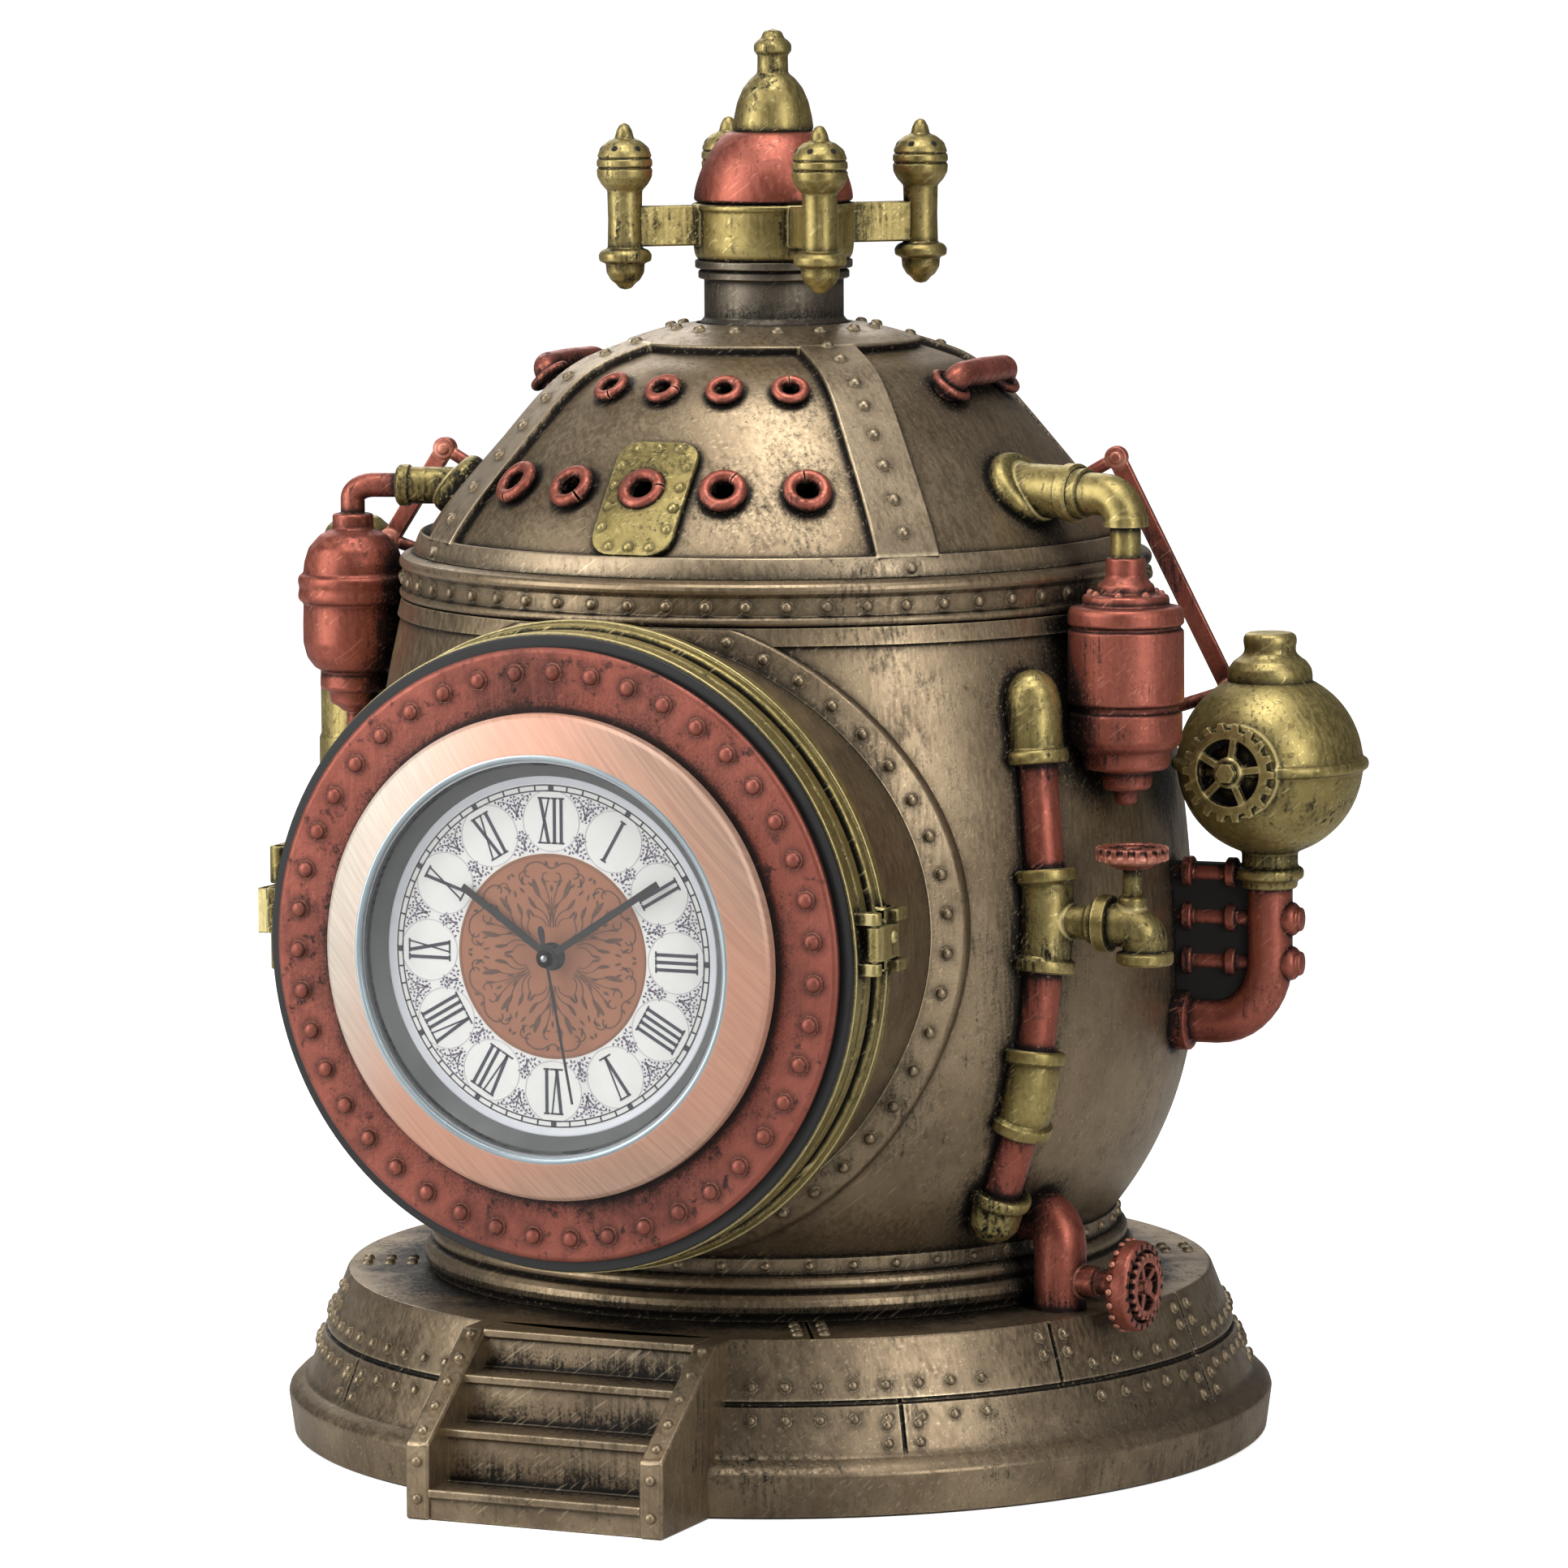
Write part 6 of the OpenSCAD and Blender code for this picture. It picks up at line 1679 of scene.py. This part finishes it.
def hands():
    """Black baton hands with blunt ends on nested arbors, and a thin second hand with a weighted tail."""
    hour = (baton(17.2, HOUR_F) + ring(1.75, 1.3, HOUR_F, HOUR_F + HAND_T, 0.08, 40)
            + ring(1.6, 1.3, ARBOR_BACK, HOUR_F + 0.2, 0.05, 40))
    minute = (baton(21.3, MINUTE_F) + ring(1.6, 0.6, MINUTE_F, MINUTE_F + HAND_T, 0.08, 40)
              + ring(1.2, 0.65, ARBOR_BACK, MINUTE_F + 0.2, 0.05, 32))
    reach = np.array([-4.8, -4.5, -3.9, -3.2, -2.4, -1.2, 0.0, 8.0, 16.0, 21.8])
    width = np.array([0.3, 0.75, 1.0, 0.9, 0.6, 0.42, 0.4, 0.36, 0.34, 0.3])
    needle = stroke(np.stack([reach * 0.0, reach], axis=-1), width, SECOND_F, SECOND_F + 0.28)
    cap = lathe([[0.0, SECOND_F - 0.1], [1.45, SECOND_F - 0.1], [1.45, SECOND_F + 0.5], [1.1, SECOND_F + 0.8],
                 [0.0, SECOND_F + 0.8]], 0.2, 40)
    arbor = lathe([[0.0, ARBOR_BACK], [0.5, ARBOR_BACK], [0.5, SECOND_F + 0.2], [0.0, SECOND_F + 0.2]],
                  0.05, 24)
    for name, shape, turn in (("hour_hand", hour, SHOWN_MINUTES / 2.0),
                              ("minute_hand", minute, SHOWN_MINUTES * 6.0),
                              ("second_hand", needle + cap + arbor, SHOWN_MINUTES * 360.0)):
        piece(name + "_baton", turned_flat(shape, turn).at(FACE), "hands", name, [name], bevel=0.06)
    dot = lathe([[0.0, SECOND_F + 0.75], [0.55, SECOND_F + 0.75], [0.5, SECOND_F + 0.95],
                 [0.0, SECOND_F + 1.0]], 0.08, 24)
    piece("second_hand_dot", dot.at(FACE), "cell", "second_hand")


KNOB_SPOT = moved(-10.0, -6.0, 0.0)
COVER_SPOT = moved(10.0, -6.0, 0.0)
RIM_BACK = 64.9
RIM_FRONT = 65.4


def clock_back():
    """Knurled setting knob, and the rims moulded on the movement's back round it, the cover and the edge."""
    grip = gear_ring(28, 4.3, 4.6, 2.4, 62.6, 64.8)
    stem = lathe([[0.0, 63.2], [2.6, 63.2], [2.6, 64.7], [1.6, 64.8], [1.6, 70.0], [0.0, 70.0]], 0.15, 32)
    knob = (grip + stem).at(KNOB_SPOT).at(FACE)
    piece("setting_knob", knob, "knob", "set_knob", ["set_knob"])
    rims = (ring(6.0, 5.4, RIM_BACK, RIM_FRONT, 0.15, 64).at(KNOB_SPOT)
            + ring(7.7, 7.05, RIM_BACK, RIM_FRONT, 0.15, 64).at(COVER_SPOT)
            + ring(21.6, 20.8, RIM_BACK, RIM_FRONT, 0.15, 128))
    piece("movement_rims", rims.at(FACE), "movement", "door")


# Camera, lamps and floor


def make_camera():
    """The photograph's camera: 24 degrees to the right of the front, 6 degrees up, with a long lens."""
    azimuth, elevation, distance = math.radians(23.91), math.radians(6.21), 1250.0
    target = Vector((0.0, 0.0, 110.0))
    level = math.cos(elevation)
    back = Vector((math.sin(azimuth) * level, -math.cos(azimuth) * level, math.sin(elevation)))
    data = bpy.data.cameras.new("camera")
    camera = bpy.data.objects.new("camera", data)
    bpy.context.scene.collection.objects.link(camera)
    side = (-back).cross(Vector(Z_AXIS)).normalized()
    up = side.cross(-back)
    roll = math.radians(-0.34)
    right_axis = side * math.cos(roll) + up * math.sin(roll)
    up_axis = -side * math.sin(roll) + up * math.cos(roll)
    turn = Matrix((right_axis, up_axis, back)).transposed().to_4x4()
    camera.matrix_world = Matrix.Translation((target + back * distance) * MM) @ turn
    image, focal = 1932.0, 9897.4
    middle_x, middle_y = 956.89, 891.88
    data.sensor_width = 36.0
    data.lens = focal * data.sensor_width / image
    data.shift_x = (image / 2.0 - middle_x) / image
    data.shift_y = (middle_y - image / 2.0) / image
    data.clip_start, data.clip_end = 0.01, 200.0
    bpy.context.scene.camera = camera


LAMP_AIM = 0.1


def lamp(name, bearing, elevation, distance, width, height, power):
    """A soft panel lamp that faces the clock."""
    data = bpy.data.lights.new(name, "AREA")
    data.shape = "RECTANGLE"
    data.size, data.size_y = width, height
    data.energy = power
    made = bpy.data.objects.new(name, data)
    bpy.context.scene.collection.objects.link(made)
    level = distance * math.cos(math.radians(elevation))
    spot = Vector(out_at(bearing, level, distance * math.sin(math.radians(elevation))).tolist())
    made.location = spot + Vector((0.0, 0.0, LAMP_AIM))
    made.rotation_mode = "QUATERNION"
    made.rotation_quaternion = (-spot).to_track_quat("-Z", "Y")


def grey_tone(value):
    """A colour with one value for red, green and blue, in linear light."""
    return (value, value, value, 1.0)


FLOOR_REACH = 60.0
SKY = (0.1, 0.1, 0.105, 1.0)


def make_stage():
    """A wide pale floor that stays white to the eye and keeps a soft shadow, under a grey studio sky."""
    mesh = bpy.data.meshes.new("floor")
    corners = [(side * FLOOR_REACH, depth * FLOOR_REACH, 0.0)
               for side, depth in ((-1.0, -1.0), (1.0, -1.0), (1.0, 1.0), (-1.0, 1.0))]
    mesh.from_pydata(corners, [], [(0, 1, 2, 3)])
    floor = bpy.data.objects.new("floor", mesh)
    bpy.context.scene.collection.objects.link(floor)
    finish = Finish("floor_white")
    rays = finish.add("ShaderNodeLightPath", output="Is Camera Ray")
    seen = (rays + rays.twin("Is Transmission Ray")).between(0.0, 1.0)
    glow = finish.mix(finish.distance(EVEN).between(0.1, 0.9), grey_tone(0.72), WHITE)
    finish.set(Base_Color=finish.mix(seen, grey_tone(0.55), grey_tone(0.8)), Roughness=0.9,
               Specular_IOR_Level=0.0, Emission_Color=finish.mix(seen, BLACK, glow), Emission_Strength=1.0)
    mesh.materials.append(finish.material)
    world = bpy.data.worlds.new("studio")
    bpy.context.scene.world = world
    world.use_nodes = True
    nodes, links = world.node_tree.nodes, world.node_tree.links
    rays = nodes.new("ShaderNodeLightPath")
    tint = nodes.new("ShaderNodeMix")
    tint.data_type = "RGBA"
    tint.inputs[6].default_value = SKY
    tint.inputs[7].default_value = WHITE
    links.new(rays.outputs["Is Camera Ray"], tint.inputs[0])
    links.new(tint.outputs[2], nodes["Background"].inputs["Color"])
    lamp("right_panel", 60.0, 20.0, 1.0, 0.3, 0.8, 4.2)
    lamp("left_panel", -42.0, 20.0, 0.8, 0.5, 0.8, 5.4)
    lamp("top_panel", 20.0, 76.0, 1.0, 0.6, 0.6, 6.5)
    lamp("back_panel", -145.0, 35.0, 1.4, 0.9, 0.9, 6.0)
    bpy.context.scene.view_settings.view_transform = "Standard"


make_camera()
make_stage()
make_finishes()

plinth()
stairs()
foot()
boiler()
rim()
drum_pieces()
dome_shell()
dome_ribs()
ports()
hatch()
handles()
finial()
canisters()
stay_rods()
riser()
globe_pieces()
drain()
door()
hinge()
latch()
dial_print()
hands()
clock_back()

CAD_FINISHES = {
    "base_pad": "felt", "hinge_pin": "brass", "insert_gasket": "gasket", "insert_cup": "cup",
    "rehaut": "rehaut", "lens": "glass", "dial": "dial", "movement": "movement", "button_cell": "cell",
    "cell_cover": "cover"}
for cad_node, cad_finish in CAD_FINISHES.items():
    dress(cad_node, cad_finish)
